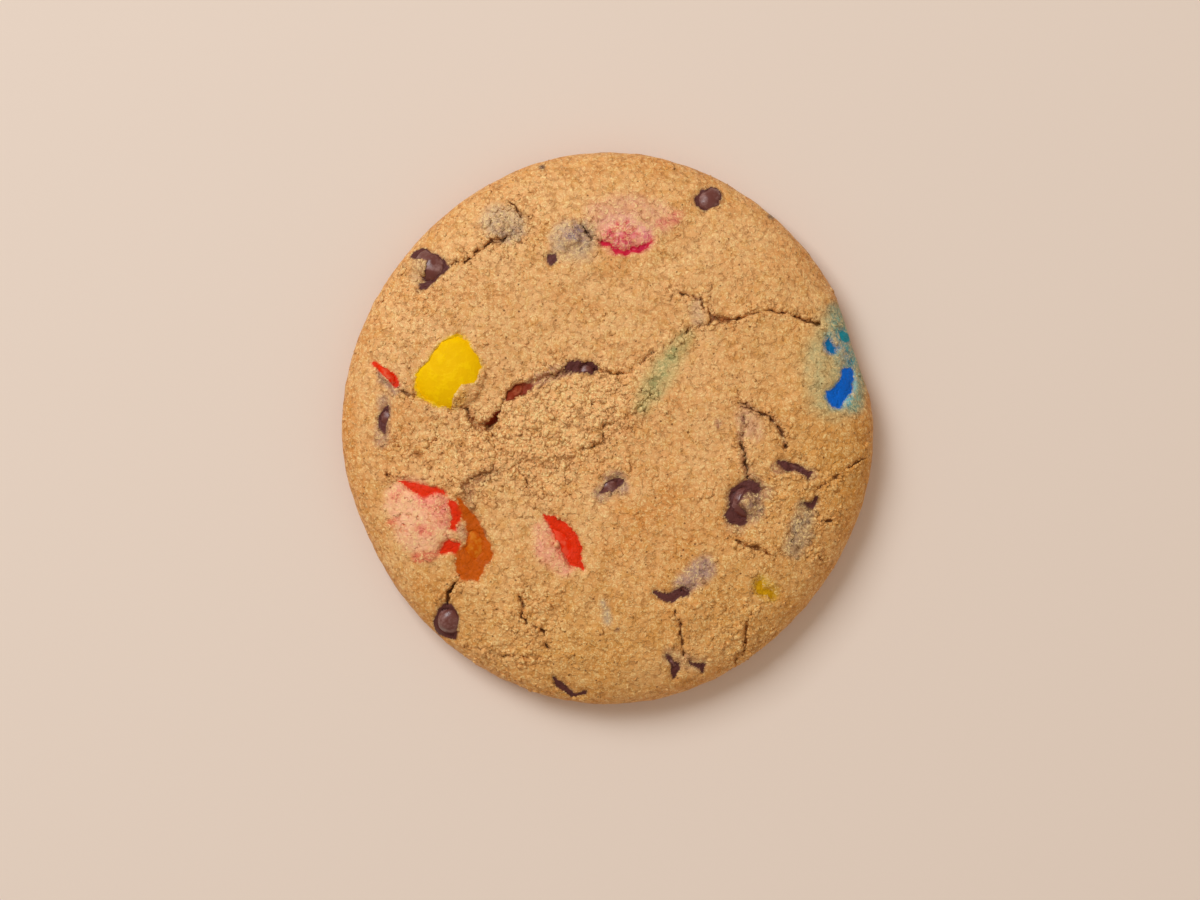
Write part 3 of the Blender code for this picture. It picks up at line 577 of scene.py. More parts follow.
class CookieSizes(PropertyGroup):
    """The sizes that the cookie is made to."""

    width: FloatProperty(
        name="Width", description="Across the cookie", unit="LENGTH", default=DOUGH_HIGH.x - DOUGH_LOW.x
    )
    length: FloatProperty(
        name="Length", description="Along the cookie", unit="LENGTH", default=DOUGH_HIGH.y - DOUGH_LOW.y
    )
    dome: FloatProperty(
        name="Dome", description="Height of the crust without its lumps", unit="LENGTH", default=0.0130
    )
    widest: FloatProperty(
        name="Widest", description="Height of the widest line", unit="LENGTH", default=0.0040
    )
    cells: IntProperty(name="Cells", description="Cells of the crust's grid along each side", default=268)
    granule: FloatProperty(
        name="Granule", description="Size of a middling crumb", unit="LENGTH", default=0.0008
    )


class CookieColours(PropertyGroup):
    """The colours that the cookie is made in."""

    pale: FloatVectorProperty(
        name="Pale", description="Palest crust", subtype="COLOR", default=shade(229, 172, 113)
    )
    golden: FloatVectorProperty(
        name="Golden", description="Golden crust", subtype="COLOR", default=shade(206, 142, 58)
    )
    # partly the sugar grains' own colour, partly painted light on what stands out
    sugar: FloatVectorProperty(
        name="Sugar", description="Lightest grains", subtype="COLOR", default=shade(244, 202, 136)
    )
    # painted highlight on the flakes' edges, and painted glints
    glint: FloatVectorProperty(
        name="Glint", description="Bright edges of the flakes", subtype="COLOR", default=shade(255, 222, 154)
    )
    toasted: FloatVectorProperty(
        name="Toasted", description="Most toasted crust", subtype="COLOR", default=shade(208, 132, 60)
    )
    # painted shade between the granules and in the pits
    gap: FloatVectorProperty(
        name="Gap", description="Dough between the granules", subtype="COLOR", default=shade(160, 102, 48)
    )
    # painted shade in the cracks, the pores and the thin splits
    crevice_shade: FloatVectorProperty(
        name="Crevice", description="Depth of a crack", subtype="COLOR", default=shade(122, 68, 34)
    )
    yellow: FloatVectorProperty(
        name="Yellow", description="Yellow shell", subtype="COLOR", default=shade(240, 186, 0)
    )
    red: FloatVectorProperty(
        name="Red", description="Red shell", subtype="COLOR", default=shade(228, 42, 2)
    )
    orange: FloatVectorProperty(
        name="Orange", description="Orange shell", subtype="COLOR", default=shade(200, 88, 0)
    )
    pink: FloatVectorProperty(
        name="Pink", description="Magenta shell", subtype="COLOR", default=shade(204, 26, 72)
    )
    blue: FloatVectorProperty(
        name="Blue", description="Blue shell", subtype="COLOR", default=shade(0, 104, 214)
    )
    brown: FloatVectorProperty(
        name="Brown", description="Brown shell", subtype="COLOR", default=shade(138, 50, 24)
    )
    chocolate: FloatVectorProperty(
        name="Chocolate", description="Dark chocolate", subtype="COLOR", default=shade(104, 52, 44)
    )
    bloom: FloatVectorProperty(
        name="Bloom", description="Pale bloom on the chocolate", subtype="COLOR", default=shade(168, 128, 122)
    )
    table: FloatVectorProperty(
        name="Table", description="Table top", subtype="COLOR", default=shade(230, 211, 197)
    )


class Link:
    """A shader socket that can be used in sums, such as 1 - mask * 0.5."""

    def __init__(self, shader, socket):
        self.shader = shader
        self.socket = socket

    def maths(self, operation, *values):
        return self.shader.node("ShaderNodeMath", {"operation": operation}, values)

    def __add__(self, other):
        return self.maths("ADD", self, other)

    def __sub__(self, other):
        return self.maths("SUBTRACT", self, other)

    def __mul__(self, other):
        return self.maths("MULTIPLY", self, other)

    def __rsub__(self, other):
        return self.maths("SUBTRACT", other, self)

    def __abs__(self):
        return self.maths("ABSOLUTE", self)

    __radd__ = __add__
    __rmul__ = __mul__


class Shader:
    """One material's nodes."""

    def __init__(self, name):
        self.material = bpy.data.materials.new(name)
        self.material.use_nodes = True
        self.tree = self.material.node_tree
        self.tree.nodes.clear()

    def node(self, kind, settings=None, inputs=(), output=0):
        """Add a node: its settings first, then the values or links of its sockets, and give one output."""
        made = self.tree.nodes.new(kind)
        for key, value in (settings or {}).items():
            setattr(made, key, value)
        named = inputs.items() if isinstance(inputs, dict) else enumerate(inputs)
        for key, value in named:
            if isinstance(value, Link):
                self.tree.links.new(value.socket, made.inputs[key])
            else:
                made.inputs[key].default_value = value
        return Link(self, made.outputs[output]) if made.outputs else None

    def mix(self, factor, first, second):
        """Mix two colours."""
        settings = {"data_type": "RGBA", "clamp_factor": True}
        first, second = ((*part, 1.0) if isinstance(part, tuple) else part for part in (first, second))
        return self.node("ShaderNodeMix", settings, {0: factor, 6: first, 7: second}, output=2)

    def lit(self, colour, value):
        """A colour made darker or lighter."""
        return self.node("ShaderNodeHueSaturation", {}, {"Value": value, "Color": colour})

    def ramp(self, value, low, high):
        """Spread a value smoothly from 0 at low to 1 at high."""
        settings = {"interpolation_type": "SMOOTHSTEP", "clamp": True}
        return self.node("ShaderNodeMapRange", settings, {0: value, 1: low, 2: high})

    def place(self):
        """The place on the object, in millimetres."""
        where = self.node("ShaderNodeTexCoord", output=3)
        inputs = {"Vector": where, "Scale": (1 / MM,) * 3}
        return self.node("ShaderNodeMapping", {"vector_type": "POINT"}, inputs)

    def cloud(self, place, width, detail=2.0, output=0):
        """Soft noise whose clouds are about `width` millimetres across."""
        inputs = {"Vector": place, "Scale": 1 / width, "Detail": detail, "Roughness": 0.55}
        return self.node("ShaderNodeTexNoise", {}, inputs, output=output)

    def cells(self, place, width):
        """Round cells about `width` millimetres across: the distance to the nearest one's middle."""
        return self.node("ShaderNodeTexVoronoi", {"feature": "F1"}, {"Vector": place, "Scale": 1 / width})

    def vector(self, operation, *values, output=0):
        """Do vector maths."""
        return self.node("ShaderNodeVectorMath", {"operation": operation}, values, output)

    def facets(self, place, width):
        """Cells whose faces lean at random: distance to the middle, a shade for each, the lean's height."""
        distance = self.cells(place, width)
        node = distance.socket.node
        tone, middle = Link(self, node.outputs["Color"]), Link(self, node.outputs["Position"])
        offset = self.vector("SUBTRACT", place, middle)
        lean = self.vector("SUBTRACT", tone, (0.5,) * 3)
        return distance, tone, self.vector("DOT_PRODUCT", offset, lean, output=1)

    def attribute(self, name, output=2):
        """A value or colour that the mesh carries at its points."""
        return self.node("ShaderNodeAttribute", {"attribute_name": name}, output=output)

    def bump(self, height, distance, strength=1.0):
        """A bump whose height of 1 stands for a distance in millimetres."""
        inputs = {"Strength": strength, "Distance": distance * MM, "Height": height}
        return self.node("ShaderNodeBump", {}, inputs)

    def surface(self, **inputs):
        """Finish the material with a Principled surface."""
        named = {key.replace("_", " "): value for key, value in inputs.items()}
        shader = self.node("ShaderNodeBsdfPrincipled", {}, named)
        self.node("ShaderNodeOutputMaterial", {}, {0: shader})
        return self.material


def crumb_material(colours):
    """Baked dough: grains over gaps in painted shade, toasted in places, stained by what melted, painted shade
    in cracks.
    """
    shader = Shader("baked_crumb")
    place = shader.place()
    bend = shader.cloud(place, BEND, output=1)
    bent = shader.vector("MULTIPLY_ADD", bend, (0.8,) * 3, place)
    toast = shader.attribute("toast")
    gold = shader.attribute("gold")
    relief = shader.attribute("relief")
    tone = shader.attribute("tone")
    crack = shader.attribute("crack")
    split = shader.attribute("split")
    stain = shader.attribute("stain", output=0)
    soaked = shader.attribute("stain", output=3)
    loose = shader.attribute("looseness")
    broad = shader.cloud(place, BROAD_PATCH)
    fine = shader.cloud(place, GRAIN, detail=3.0)
    flakes, flake_tone, flake_tilt = shader.facets(bent, FLAKE)
    chips, chip_tone, chip_tilt = shader.facets(bent, SMALL_FLAKE)
    texture = fine * 0.4 - flakes * 0.8 - chips * 0.5 + 0.1
    contrast = 0.46 + loose * 0.26

    # toasted, golden and amber patches, and a tone for each flake
    browned = shader.ramp(broad + texture * -0.20 + toast * 0.5, 0.30, 1.30)
    base = shader.mix(browned, tuple(colours.pale), tuple(colours.toasted))
    base = shader.mix(gold * 0.7, base, tuple(colours.golden))
    amber = shader.ramp(shader.cloud(place, AMBER_PATCH), 0.48, 0.66)
    base = shader.mix(amber * 0.34, base, tuple(colours.golden))
    value = 0.86 + loose * 0.07 + flake_tone * 0.14 + chip_tone * 0.10 + tone * 0.04 + fine * 0.08
    base = shader.lit(base, value)

    # what has soaked in, mottled
    film = shader.lit(stain, 0.10 + value * 0.9)
    mottle = shader.ramp(fine * 0.5 + shader.cloud(place, MOTTLE) * 0.9, 0.45, 0.95)
    base = shader.mix(soaked * (0.60 + mottle * 0.55), base, film)
    # the colour of painted shade in the gaps and pits, tinted darker by any stain
    deep = shader.node("ShaderNodeGamma", {}, (stain, 2.8))
    hollow_shade = shader.mix(soaked, tuple(colours.gap), deep)

    # painted shade between the grains, and grains paler and painted lighter where they stand out
    gap = shader.ramp(relief + tone * 0.02 + texture * 0.16, -0.05, -0.28)
    base = shader.mix(gap * (0.25 + loose * 0.15), base, hollow_shade)
    # partly paler sugar grains, partly painted light where the dough or a granule stands out
    sugar_and_light = shader.ramp(texture + tone * 0.10 + relief + chip_tone * 0.3, 0.02, 0.26)
    base = shader.mix(sugar_and_light * contrast * 0.4, base, tuple(colours.sugar))
    # painted highlights on the flakes' edges, and painted glints
    curl_break = shader.cloud(place, CURL_BREAK_WIDTH, detail=1.0)
    large_edge = shader.ramp(abs(flakes - CURL_RING), 0.09, 0.02)
    large_curl_highlight = large_edge * shader.ramp(flake_tilt + curl_break * 0.2, 0.08, 0.13)
    small_edge = shader.ramp(abs(chips - CURL_RING), 0.16, 0.04)
    small_curl_highlight = small_edge * shader.ramp(chip_tilt + curl_break * 0.1, 0.035, 0.07)
    painted_highlight = large_curl_highlight * (0.60 + loose * 0.25) + small_curl_highlight * 0.75
    glints = shader.ramp(shader.cloud(place, GLINT, detail=1.0), 0.58, 0.70)
    base = shader.mix(painted_highlight * contrast + glints * 0.38, base, tuple(colours.glint))
    # painted shade in the pits beside the flakes' edges
    shaded_pit = shader.ramp(flakes + fine * 0.12, 0.60, 0.72) * shader.ramp(curl_break, 0.50, 0.42)
    base = shader.mix(shaded_pit * contrast * 0.62, base, hollow_shade)

    # painted shade in the pores, the cracks and the thin splits, tinted by any stain
    depth = shader.mix(soaked, tuple(colours.crevice_shade), deep)
    pore_patches = shader.ramp(shader.cloud(place, PORE_PATCH), 0.46, 0.58)
    shaded_pores = shader.ramp(shader.cells(place, PORE) + fine * 0.16, 0.24, 0.14) * pore_patches
    base = shader.mix(shaded_pores * 0.8, base, depth)
    crack_shade = shader.ramp(crack + fine * 0.5, 0.28, -0.15) * (1 - soaked)
    base = shader.mix(crack_shade * 0.35, base, tuple(colours.crevice_shade))
    split_shade = shader.ramp(split + fine * 0.4, 0.26, 0.10)
    base = shader.mix(split_shade * 0.72, base, depth)

    # melted sugar and chocolate in the windows
    glaze = shader.ramp(shader.attribute("glaze") + fine * 0.4, 0.70, 1.0)
    melted = shader.lit(stain, 0.62 + fine * 0.45 + flake_tone * 0.16 + chip_tone * 0.14)
    base = shader.mix(glaze, base, melted)

    rough = 0.50 - sugar_and_light * 0.14 - painted_highlight * 0.12 + glaze * 0.05
    height = texture * 0.9 + (flake_tilt + chip_tilt) * 0.8 - shaded_pores * 0.8 + painted_highlight * 0.2 - shaded_pit * 0.5
    bump = shader.bump(height * (0.65 + loose * 0.25) * (1 - glaze * 0.3), CRUST_BUMP)
    return shader.surface(Base_Color=base, Roughness=rough, Normal=bump, Specular_IOR_Level=0.14)


def shell_material(name, colour, melted, worn):
    """A candy's sugar shell: uneven in colour, melted in places to a second tone, and worn by baking."""
    shader = Shader(name)
    place = shader.place()
    broad = shader.cloud(place, SHELL_PATCH)
    fine = shader.cloud(place, SHELL_GRAIN, detail=3.0)
    darker = tuple(part * 0.8 for part in colour)
    base = shader.mix(shader.ramp(broad, 0.35, 0.75) * 0.25, tuple(colour), darker)
    runs = shader.ramp(shader.cloud(place, SHELL_RUN, detail=3.0) + fine * 0.3, 0.58, 0.80)
    base = shader.mix(runs * 0.8, base, melted)
    scuffs = shader.ramp(fine * 0.7 + broad * 0.5, 0.62, 0.82)
    base = shader.mix(scuffs * worn, base, WORN_SHELL)
    rough = 0.62 + scuffs * 0.2 - runs * 0.12
    bump = shader.bump(fine + runs * 0.5, 0.08, 0.6)
    return shader.surface(Base_Color=base, Roughness=rough, Normal=bump, Specular_IOR_Level=0.05)


def chocolate_material(colours):
    """Dark chocolate that has melted and set again, with a pale bloom in patches."""
    shader = Shader("baked_chocolate")
    place = shader.place()
    broad = shader.cloud(place, CHOCOLATE_PATCH, detail=3.0)
    fine = shader.cloud(place, CHOCOLATE_GRAIN, detail=3.0)
    bloom = shader.ramp(broad * 0.9 + fine * 0.35, 0.56, 0.84)
    base = shader.mix(bloom * 0.55, tuple(colours.chocolate), tuple(colours.bloom))
    rough = 0.28 + bloom * 0.22
    bump = shader.bump(fine, 0.08, 0.5)
    return shader.surface(Base_Color=base, Roughness=rough, Normal=bump)


def table_material(colours):
    """A plain pale table top with the faintest unevenness."""
    shader = Shader("pale_table")
    cloud = shader.cloud(shader.place(), TABLE_PATCH)
    darker = tuple(part * 0.9 for part in colours.table)
    base = shader.mix(cloud * 0.10, tuple(colours.table), darker)
    return shader.surface(Base_Color=base, Roughness=0.85)


def outline_radius(angle, sizes):
    """The cookie's radius in each compass direction, in millimetres."""
    width, length = sizes.width / MM, sizes.length / MM
    radius = (length + width) / 4 - SQUARENESS - (length - width) / 4 * np.cos(2 * angle)
    radius = radius + SQUARENESS * np.cos(4 * angle)
    for depth, direction, spread in DENTS:
        turn = (np.degrees(angle) - direction + 180) % 360 - 180
        radius = radius - depth * np.exp(-((turn / spread) ** 2))
    return radius


def cloud(x, y, width, place):
    """Soft noise from about -1 to 1 at each place, with clouds `width` across."""
    spots = (Vector((east / width, north / width, place)) for east, north in zip(x, y))
    return np.array([noise.noise(spot) for spot in spots])


def crust_height(x, y, sizes):
    """The height of the crust at each place, without its cracks, in millimetres."""
    share = np.minimum(1, np.hypot(x, y) / outline_radius(np.arctan2(y, x), sizes))
    widest = sizes.widest / MM
    dome = (sizes.dome / MM - widest) * np.sqrt(1 - share**SHOULDER_POWER)
    relief = -CRUMB_ALLOWANCE + np.zeros_like(x)
    for east, north, along, across, turn, height in MOUNDS:
        cosine, sine = math.cos(math.radians(turn)), math.sin(math.radians(turn))
        first = ((x - east) * cosine + (y - north) * sine) / along
        second = ((y - north) * cosine - (x - east) * sine) / across
        relief = relief + height * np.exp(-(first**2 + second**2))
    for height, width, place in LUMPS:
        relief = relief + height * cloud(x, y, width, place)
    return widest + dome + relief * (1 - share**RIM_FADE_POWER)


def disc_places(u, v, sizes):
    """Turn places in a square from -1 to 1 into places in the plan, even along the dome's profile."""
    ring = np.maximum(np.abs(u), np.abs(v))
    safe_u, safe_v = np.where(u == 0, TINY, u), np.where(v == 0, TINY, v)
    angle = np.where(
        np.abs(u) >= np.abs(v),
        np.pi / 4 * v / safe_u + np.where(u < 0, np.pi, 0),
        np.pi / 2 - np.pi / 4 * u / safe_v + np.where(v < 0, np.pi, 0),
    )
    shares = 1 - np.linspace(1, 0, PROFILE_STEPS) ** 2
    drop = (sizes.dome - sizes.widest) / MM * np.sqrt(1 - shares**SHOULDER_POWER)
    steps = np.hypot(np.diff(shares) * sizes.width / MM / 2, np.diff(drop))
    arc = np.concatenate(([0], np.cumsum(steps)))
    share = np.interp(ring * arc[-1], arc, shares)
    radius = outline_radius(angle, sizes) * share
    return radius * np.cos(angle), radius * np.sin(angle)


def magenta_streaks():
    """Thin stains that run out from the middle of the magenta candy, each a little longer or shorter."""
    east, north = STREAKS_MIDDLE
    for number in range(STREAKS):
        angle = 2 * math.pi * (number + 0.3 * math.sin(5 * number)) / STREAKS
        inner = STREAKS_FROM * (1 + 0.3 * math.sin(3 * number))
        outer = STREAKS_TO * (1 + 0.25 * math.cos(7 * number))
        cosine, sine = math.cos(angle), math.sin(angle) * STREAKS_SQUASH
        ends = tuple((east + reach * cosine, north + reach * sine, STREAK_WIDTH) for reach in (inner, outer))
        yield Stain(PINK_BLEED, 0.4, 0.75, ends)


def shape_gap(x, y, points):
    """How far outside a stroke or an outline each place lies, in millimetres, and below 0 inside it."""
    if len(points[0]) == 2:
        return outline_gap(x, y, points)
    nearest = np.full(x.shape, FAR)
    for (ax, ay, aw), (bx, by, bw) in zip(points, points[1:] or points):
        dx, dy = bx - ax, by - ay
        along = np.clip(((x - ax) * dx + (y - ay) * dy) / max(dx * dx + dy * dy, TINY), 0, 1)
        gap = np.hypot(x - ax - along * dx, y - ay - along * dy) - (aw + along * (bw - aw))
        nearest = np.minimum(nearest, gap)
    return nearest


def outline_gap(x, y, corners):
    """How far outside a closed outline each place lies, in millimetres, and below 0 inside it."""
    nearest = np.full(x.shape, FAR)
    inside = np.zeros(x.shape, bool)
    for (ax, ay), (bx, by) in zip(corners, (*corners[1:], corners[0])):
        dx, dy = bx - ax, by - ay
        along = np.clip(((x - ax) * dx + (y - ay) * dy) / (dx * dx + dy * dy), 0, 1)
        nearest = np.minimum(nearest, np.hypot(x - ax - along * dx, y - ay - along * dy))
        crosses = (ay > y) != (by > y)
        inside ^= crosses & (x < ax + (y - ay) * dx / (dy if dy else TINY))
    return np.where(inside, -nearest, nearest)


def smooth_step(value):
    """Ease a value from 0 to 1."""
    value = np.clip(value, 0, 1)
    return value * value * (3 - 2 * value)


def swayed(x, y):
    """Places moved a little from side to side, so that drawn edges come out crumbly."""
    east, north = x.copy(), y.copy()
    for reach, width, place in EDGE_SWAYS:
        east += reach * cloud(x, y, width, place)
        north += reach * cloud(x, y, width, place + 5)
    return east, north


def crack_gaps(x, y, cracks=CRACKS):
    """How far each place lies from the nearest crack's edge, and how deep the cracks cut there."""
    east, north = swayed(x, y)
    reach, width, place = CRACK_BREAK
    breaks = reach * cloud(x, y, width, place)
    nearest = np.full(x.shape, NO_GAP_NEAR)
    carved = np.zeros_like(x)
    for crack in cracks:
        gap = shape_gap(east, north, crack.points) + breaks
        carved = np.maximum(carved, crack.depth * smooth_step((CRACK_LIP - gap) / CRACK_SLOPE))
        nearest = np.minimum(nearest, gap)
    return nearest, carved


def window_gaps(x, y):
    """How far each place lies outside the nearest window's edge."""
    east, north = swayed(x, y)
    nearest = np.full(x.shape, NO_GAP_NEAR)
    for window in WINDOWS:
        nearest = np.minimum(nearest, shape_gap(east, north, window.points))
    return nearest


def baked_in_tops(x, y):
    """The height of the highest candy or chip at each place, and far down where there is none."""
    points, faces = [], []
    for name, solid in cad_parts.items():
        if name != "dough":
            faces += [[len(points) + corner for corner in face.vertices] for face in solid.data.polygons]
            points += [vertex.co.copy() for vertex in solid.data.vertices]
    tree = BVHTree.FromPolygons(points, faces)
    down, above = Vector((0, 0, -1)), FAR * MM
    tops = np.full(x.shape, -FAR)
    for index, (east, north) in enumerate(zip(x, y)):
        hit = tree.ray_cast(Vector((east * MM, north * MM, above)), down)[0]
        if hit is not None:
            tops[index] = hit.z / MM
    return tops


def carved_height(x, y, sizes):
    """The height of the dough at each place: over what is baked in, cut by cracks and opened by windows."""
    east, north = swayed(x, y)
    crust = crust_height(x, y, sizes)
    crust += RAISED_HEIGHT * smooth_step(-shape_gap(east, north, RAISED_OUTLINE) / RAISED_SLOPE)
    tops = baked_in_tops(x, y)
    gap, carved = crack_gaps(x, y)
    rise = CRACK_RIM_RISE * np.exp(-(((gap - CRACK_RIM_PLACE) / CRACK_RIM_WIDTH) ** 2))
    window_gap = window_gaps(x, y)
    near = np.clip(1 - window_gap / DIP_REACH, 0, 1) ** 2
    dip = near * np.where(tops > -FAR, np.clip(crust - tops - FILM / 2, 0, DIP), DIP)
    covered = np.maximum(crust + rise - np.maximum(carved, dip), tops + FILM * (1 - near / 2))
    bare = crust - np.maximum(carved, BARE_DEPTH)
    floor = np.where(tops > bare - RIM_SHOWN, np.minimum(tops - UNDER, bare), bare)
    open_share = smooth_step((WINDOW_LIP - window_gap) / WINDOW_SLOPE)
    carved_crust = covered + (floor - covered) * open_share
    share = np.minimum(1, np.hypot(x, y) / outline_radius(np.arctan2(y, x), sizes))
    return crust + (carved_crust - crust) * (1 - share**CARVE_FADE_POWER)


def staining(x, y):
    """The colour and strength of what has soaked into the crust at each place."""
    colour = np.tile(np.array(UNSTAINED), (len(x), 1))
    strength = np.zeros_like(x)
    east, north = swayed(x, y)
    bleeds = [Stain(window.colour, window.reach, window.strength, window.points) for window in WINDOWS]
    for stain in (*STAINS, *magenta_streaks(), *bleeds):
        gap = shape_gap(east, north, stain.points)
        here = stain.strength * smooth_step(1 - gap / stain.reach)
        total = here + strength * (1 - here)
        share = np.where(total > TINY, here / np.maximum(total, TINY), 0)[:, None]
        colour = colour * (1 - share) + np.array(stain.colour) * share
        strength = total
    return np.column_stack((colour, strength))


def glazing(x, y):
    """How far each place is glazed with melted sugar, from 0 to 1: in the windows and at their edges."""
    return smooth_step(1 - window_gaps(x, y) / GLAZE_REACH)


def patches(x, y, table):
    """Add up soft round patches: x, y, reach and amount."""
    total = np.zeros_like(x)
    for east, north, reach, amount in table:
        total += amount * np.exp(-(((x - east) ** 2 + (y - north) ** 2) / reach**2))
    return total


def looseness(x, y):
    """How loose and coarse the crumb is at each place, from 0 to 1."""
    return np.clip(LOOSE_EVERYWHERE + patches(x, y, FLUFF), 0, 1)


def on_crust(height):
    """How surely a point at this height lies on the crust and not low on the wall, from 0 to 1."""
    return smooth_step((height - CRUST_FROM) / CRUST_BAND)


def deselect_all():
    """Leave nothing selected, so that an operator acts on the next piece alone."""
    for thing in bpy.context.selected_objects:
        thing.select_set(False)


def select_only(piece):
    """Select one piece and make it active."""
    deselect_all()
    piece.hide_set(False)
    piece.select_set(True)
    bpy.context.view_layer.objects.active = piece


def coordinates(mesh):
    """A mesh's points as an array, in metres."""
    points = np.empty(len(mesh.vertices) * 3, np.float32)
    mesh.vertices.foreach_get("co", points)
    return points.reshape(-1, 3).astype(float)


def vertex_normals(mesh):
    """The way that the surface faces at each of a mesh's points."""
    normals = np.empty(len(mesh.vertices) * 3, np.float32)
    mesh.vertices.foreach_get("normal", normals)
    return normals.reshape(-1, 3).astype(float)


def set_coordinates(mesh, points):
    """Move a mesh's points."""
    mesh.vertices.foreach_set("co", np.asarray(points, np.float32).ravel())
    mesh.update()


def add_modifier(piece, kind, **settings):
    """Add a modifier to the active piece and apply it."""
    modifier = piece.modifiers.new(kind.lower(), kind)
    for key, value in settings.items():
        setattr(modifier, key, value)
    bpy.ops.object.modifier_apply(modifier=modifier.name)


def displace(piece, texture, strength, middle=0.5, **settings):
    """Move the active piece's points in and out by a texture, by up to `strength` millimetres."""
    add_modifier(
        piece, "DISPLACE", texture=texture, strength=strength * MM, mid_level=middle,
        texture_coords="LOCAL", **settings,
    )


def store(mesh, name, values, kind="FLOAT"):
    """Keep a value or a colour at each of a mesh's points."""
    attribute = mesh.attributes.new(name, kind, "POINT")
    field = "color" if kind == "FLOAT_COLOR" else "value"
    attribute.data.foreach_set(field, np.asarray(values, np.float32).ravel())


def grain_texture(name, kind, width, **settings):
    """A texture that a Displace modifier reads, with features `width` millimetres across."""
    texture = bpy.data.textures.new(name, kind)
    texture.noise_scale = width * MM
    for key, value in settings.items():
        setattr(texture, key, value)
    return texture


def settle(piece, slot, *nodes):
    """Tie a finished piece to the cookie's body and hide the solids that it stands for; `slot` is not used."""
    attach(piece, BODY)
    if nodes:
        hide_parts(*nodes)


class COOKIE_OT_lay_dough(Operator):
    """Make the baked dough, with its cracks and windows"""

    bl_idname = "cookie.lay_dough"
    bl_label = "Lay Dough"

    def execute(self, context):
        sizes = context.scene.cookie_sizes
        deselect_all()
        bpy.ops.mesh.primitive_grid_add(x_subdivisions=sizes.cells, y_subdivisions=sizes.cells, size=2)
        dough = context.object
        dough.name = dough.data.name = "baked_dough"
        square = coordinates(dough.data)
        x, y = disc_places(square[:, 0], square[:, 1], sizes)
        set_coordinates(dough.data, np.column_stack((x, y, carved_height(x, y, sizes))) * MM)
        self.draw_down_sides(dough, sizes)
        self.roughen(dough)
        self.paint(dough)
        dough.data.materials.append(crumb_material(context.scene.cookie_colours))
        settle(dough, "dough", "dough")
        return {"FINISHED"}

    def draw_down_sides(self, dough, sizes):
        """Extrude the rim down to the base in rows, and then inwards in rings, and close it."""
        bpy.ops.object.mode_set(mode="EDIT")
        bpy.ops.mesh.select_mode(type="EDGE")
        bpy.ops.mesh.select_all(action="DESELECT")
        bpy.ops.mesh.select_non_manifold(extend=False)
        height, scale = sizes.widest, 1.0
        rows = [1 - (row + 1) / WALL_ROWS for row in range(WALL_ROWS)]
        turns = [(sizes.widest * row, 1 - WALL_PINCH * (1 - row) ** WALL_PINCH_POWER) for row in rows]
        turns += [(0.0, (1 - WALL_PINCH) * ring) for ring in BASE_RINGS]
        for new_height, new_scale in turns:
            bpy.ops.mesh.extrude_region_move(TRANSFORM_OT_translate={"value": (0, 0, new_height - height)})
            ratio = new_scale / scale
            bpy.ops.transform.resize(value=(ratio, ratio, 1), center_override=(0, 0, 0))
            height, scale = new_height, new_scale
        bpy.ops.mesh.edge_face_add()
        bpy.ops.mesh.select_all(action="SELECT")
        bpy.ops.mesh.normals_make_consistent(inside=False)
        bpy.ops.object.mode_set(mode="OBJECT")

    def roughen(self, dough):
        """Raise the crumb's grains on every side but the base, most where the crumb is loose."""
        x, y, height = coordinates(dough.data).T / MM
        lifted = smooth_step((height - GRAIN_FROM) / GRAIN_BAND)
        loose = lifted * (LEAST_GRAIN + (1 - LEAST_GRAIN) * looseness(x, y))
        for name, weight in (("above", lifted), ("loose", loose)):
            group = dough.vertex_groups.new(name=name)
            for index in np.flatnonzero(lifted > 0):
                group.add([int(index)], float(weight[index]), "REPLACE")
        select_only(dough)
        for name, kind, settings, width, strength, middle, moved in DOUGH_GRAIN:
            texture = grain_texture(name, kind, width, **settings)
            displace(dough, texture, strength, middle, vertex_group=moved)
        bpy.ops.object.shade_smooth()

    def paint(self, dough):
        """Keep at each point what the material needs: stains, toast, cracks and how far it stands out."""
        mesh = dough.data
        x, y, height = coordinates(mesh).T / MM
        on_top = on_crust(height)
        colour = staining(x, y)
        colour[:, 3] *= on_top
        store(mesh, "stain", colour, "FLOAT_COLOR")
        share = np.hypot(x, y) / outline_radius(np.arctan2(y, x), bpy.context.scene.cookie_sizes)
        rim = RIM_TOAST * smooth_step((share - RIM_TOAST_FROM) / RIM_TOAST_BAND)
        base = BASE_TOAST * (1 - smooth_step(height / BASE_TOAST_HEIGHT))
        store(mesh, "toast", patches(x, y, TOAST) + rim + base)
        store(mesh, "gold", patches(x, y, GOLD))
        store(mesh, "looseness", looseness(x, y))
        store(mesh, "glaze", glazing(x, y) * on_top)
        for name, cracks in (("crack", CRACKS), ("split", THIN_CRACKS)):
            store(mesh, name, np.where(on_top > 0.5, crack_gaps(x, y, cracks)[0], NO_GAP_NEAR))
        store(mesh, "relief", self.relief(mesh))

    def relief(self, mesh):
        """How far each point stands out from its neighbourhood, in millimetres."""
        points = coordinates(mesh) / MM
        edges = np.empty(len(mesh.edges) * 2, np.int32)
        mesh.edges.foreach_get("vertices", edges)
        first, second = edges.reshape(-1, 2).T
        count = np.bincount(first, minlength=len(points)) + np.bincount(second, minlength=len(points))
        smoothed = points.copy()
        for _ in range(RELIEF_ROUNDS):
            total = np.column_stack([
                np.bincount(first, smoothed[second, axis], len(points))
                + np.bincount(second, smoothed[first, axis], len(points))
                for axis in range(3)
            ])
            smoothed = total / np.maximum(count, 1)[:, None]
        return np.einsum("ij,ij->i", points - smoothed, vertex_normals(mesh))


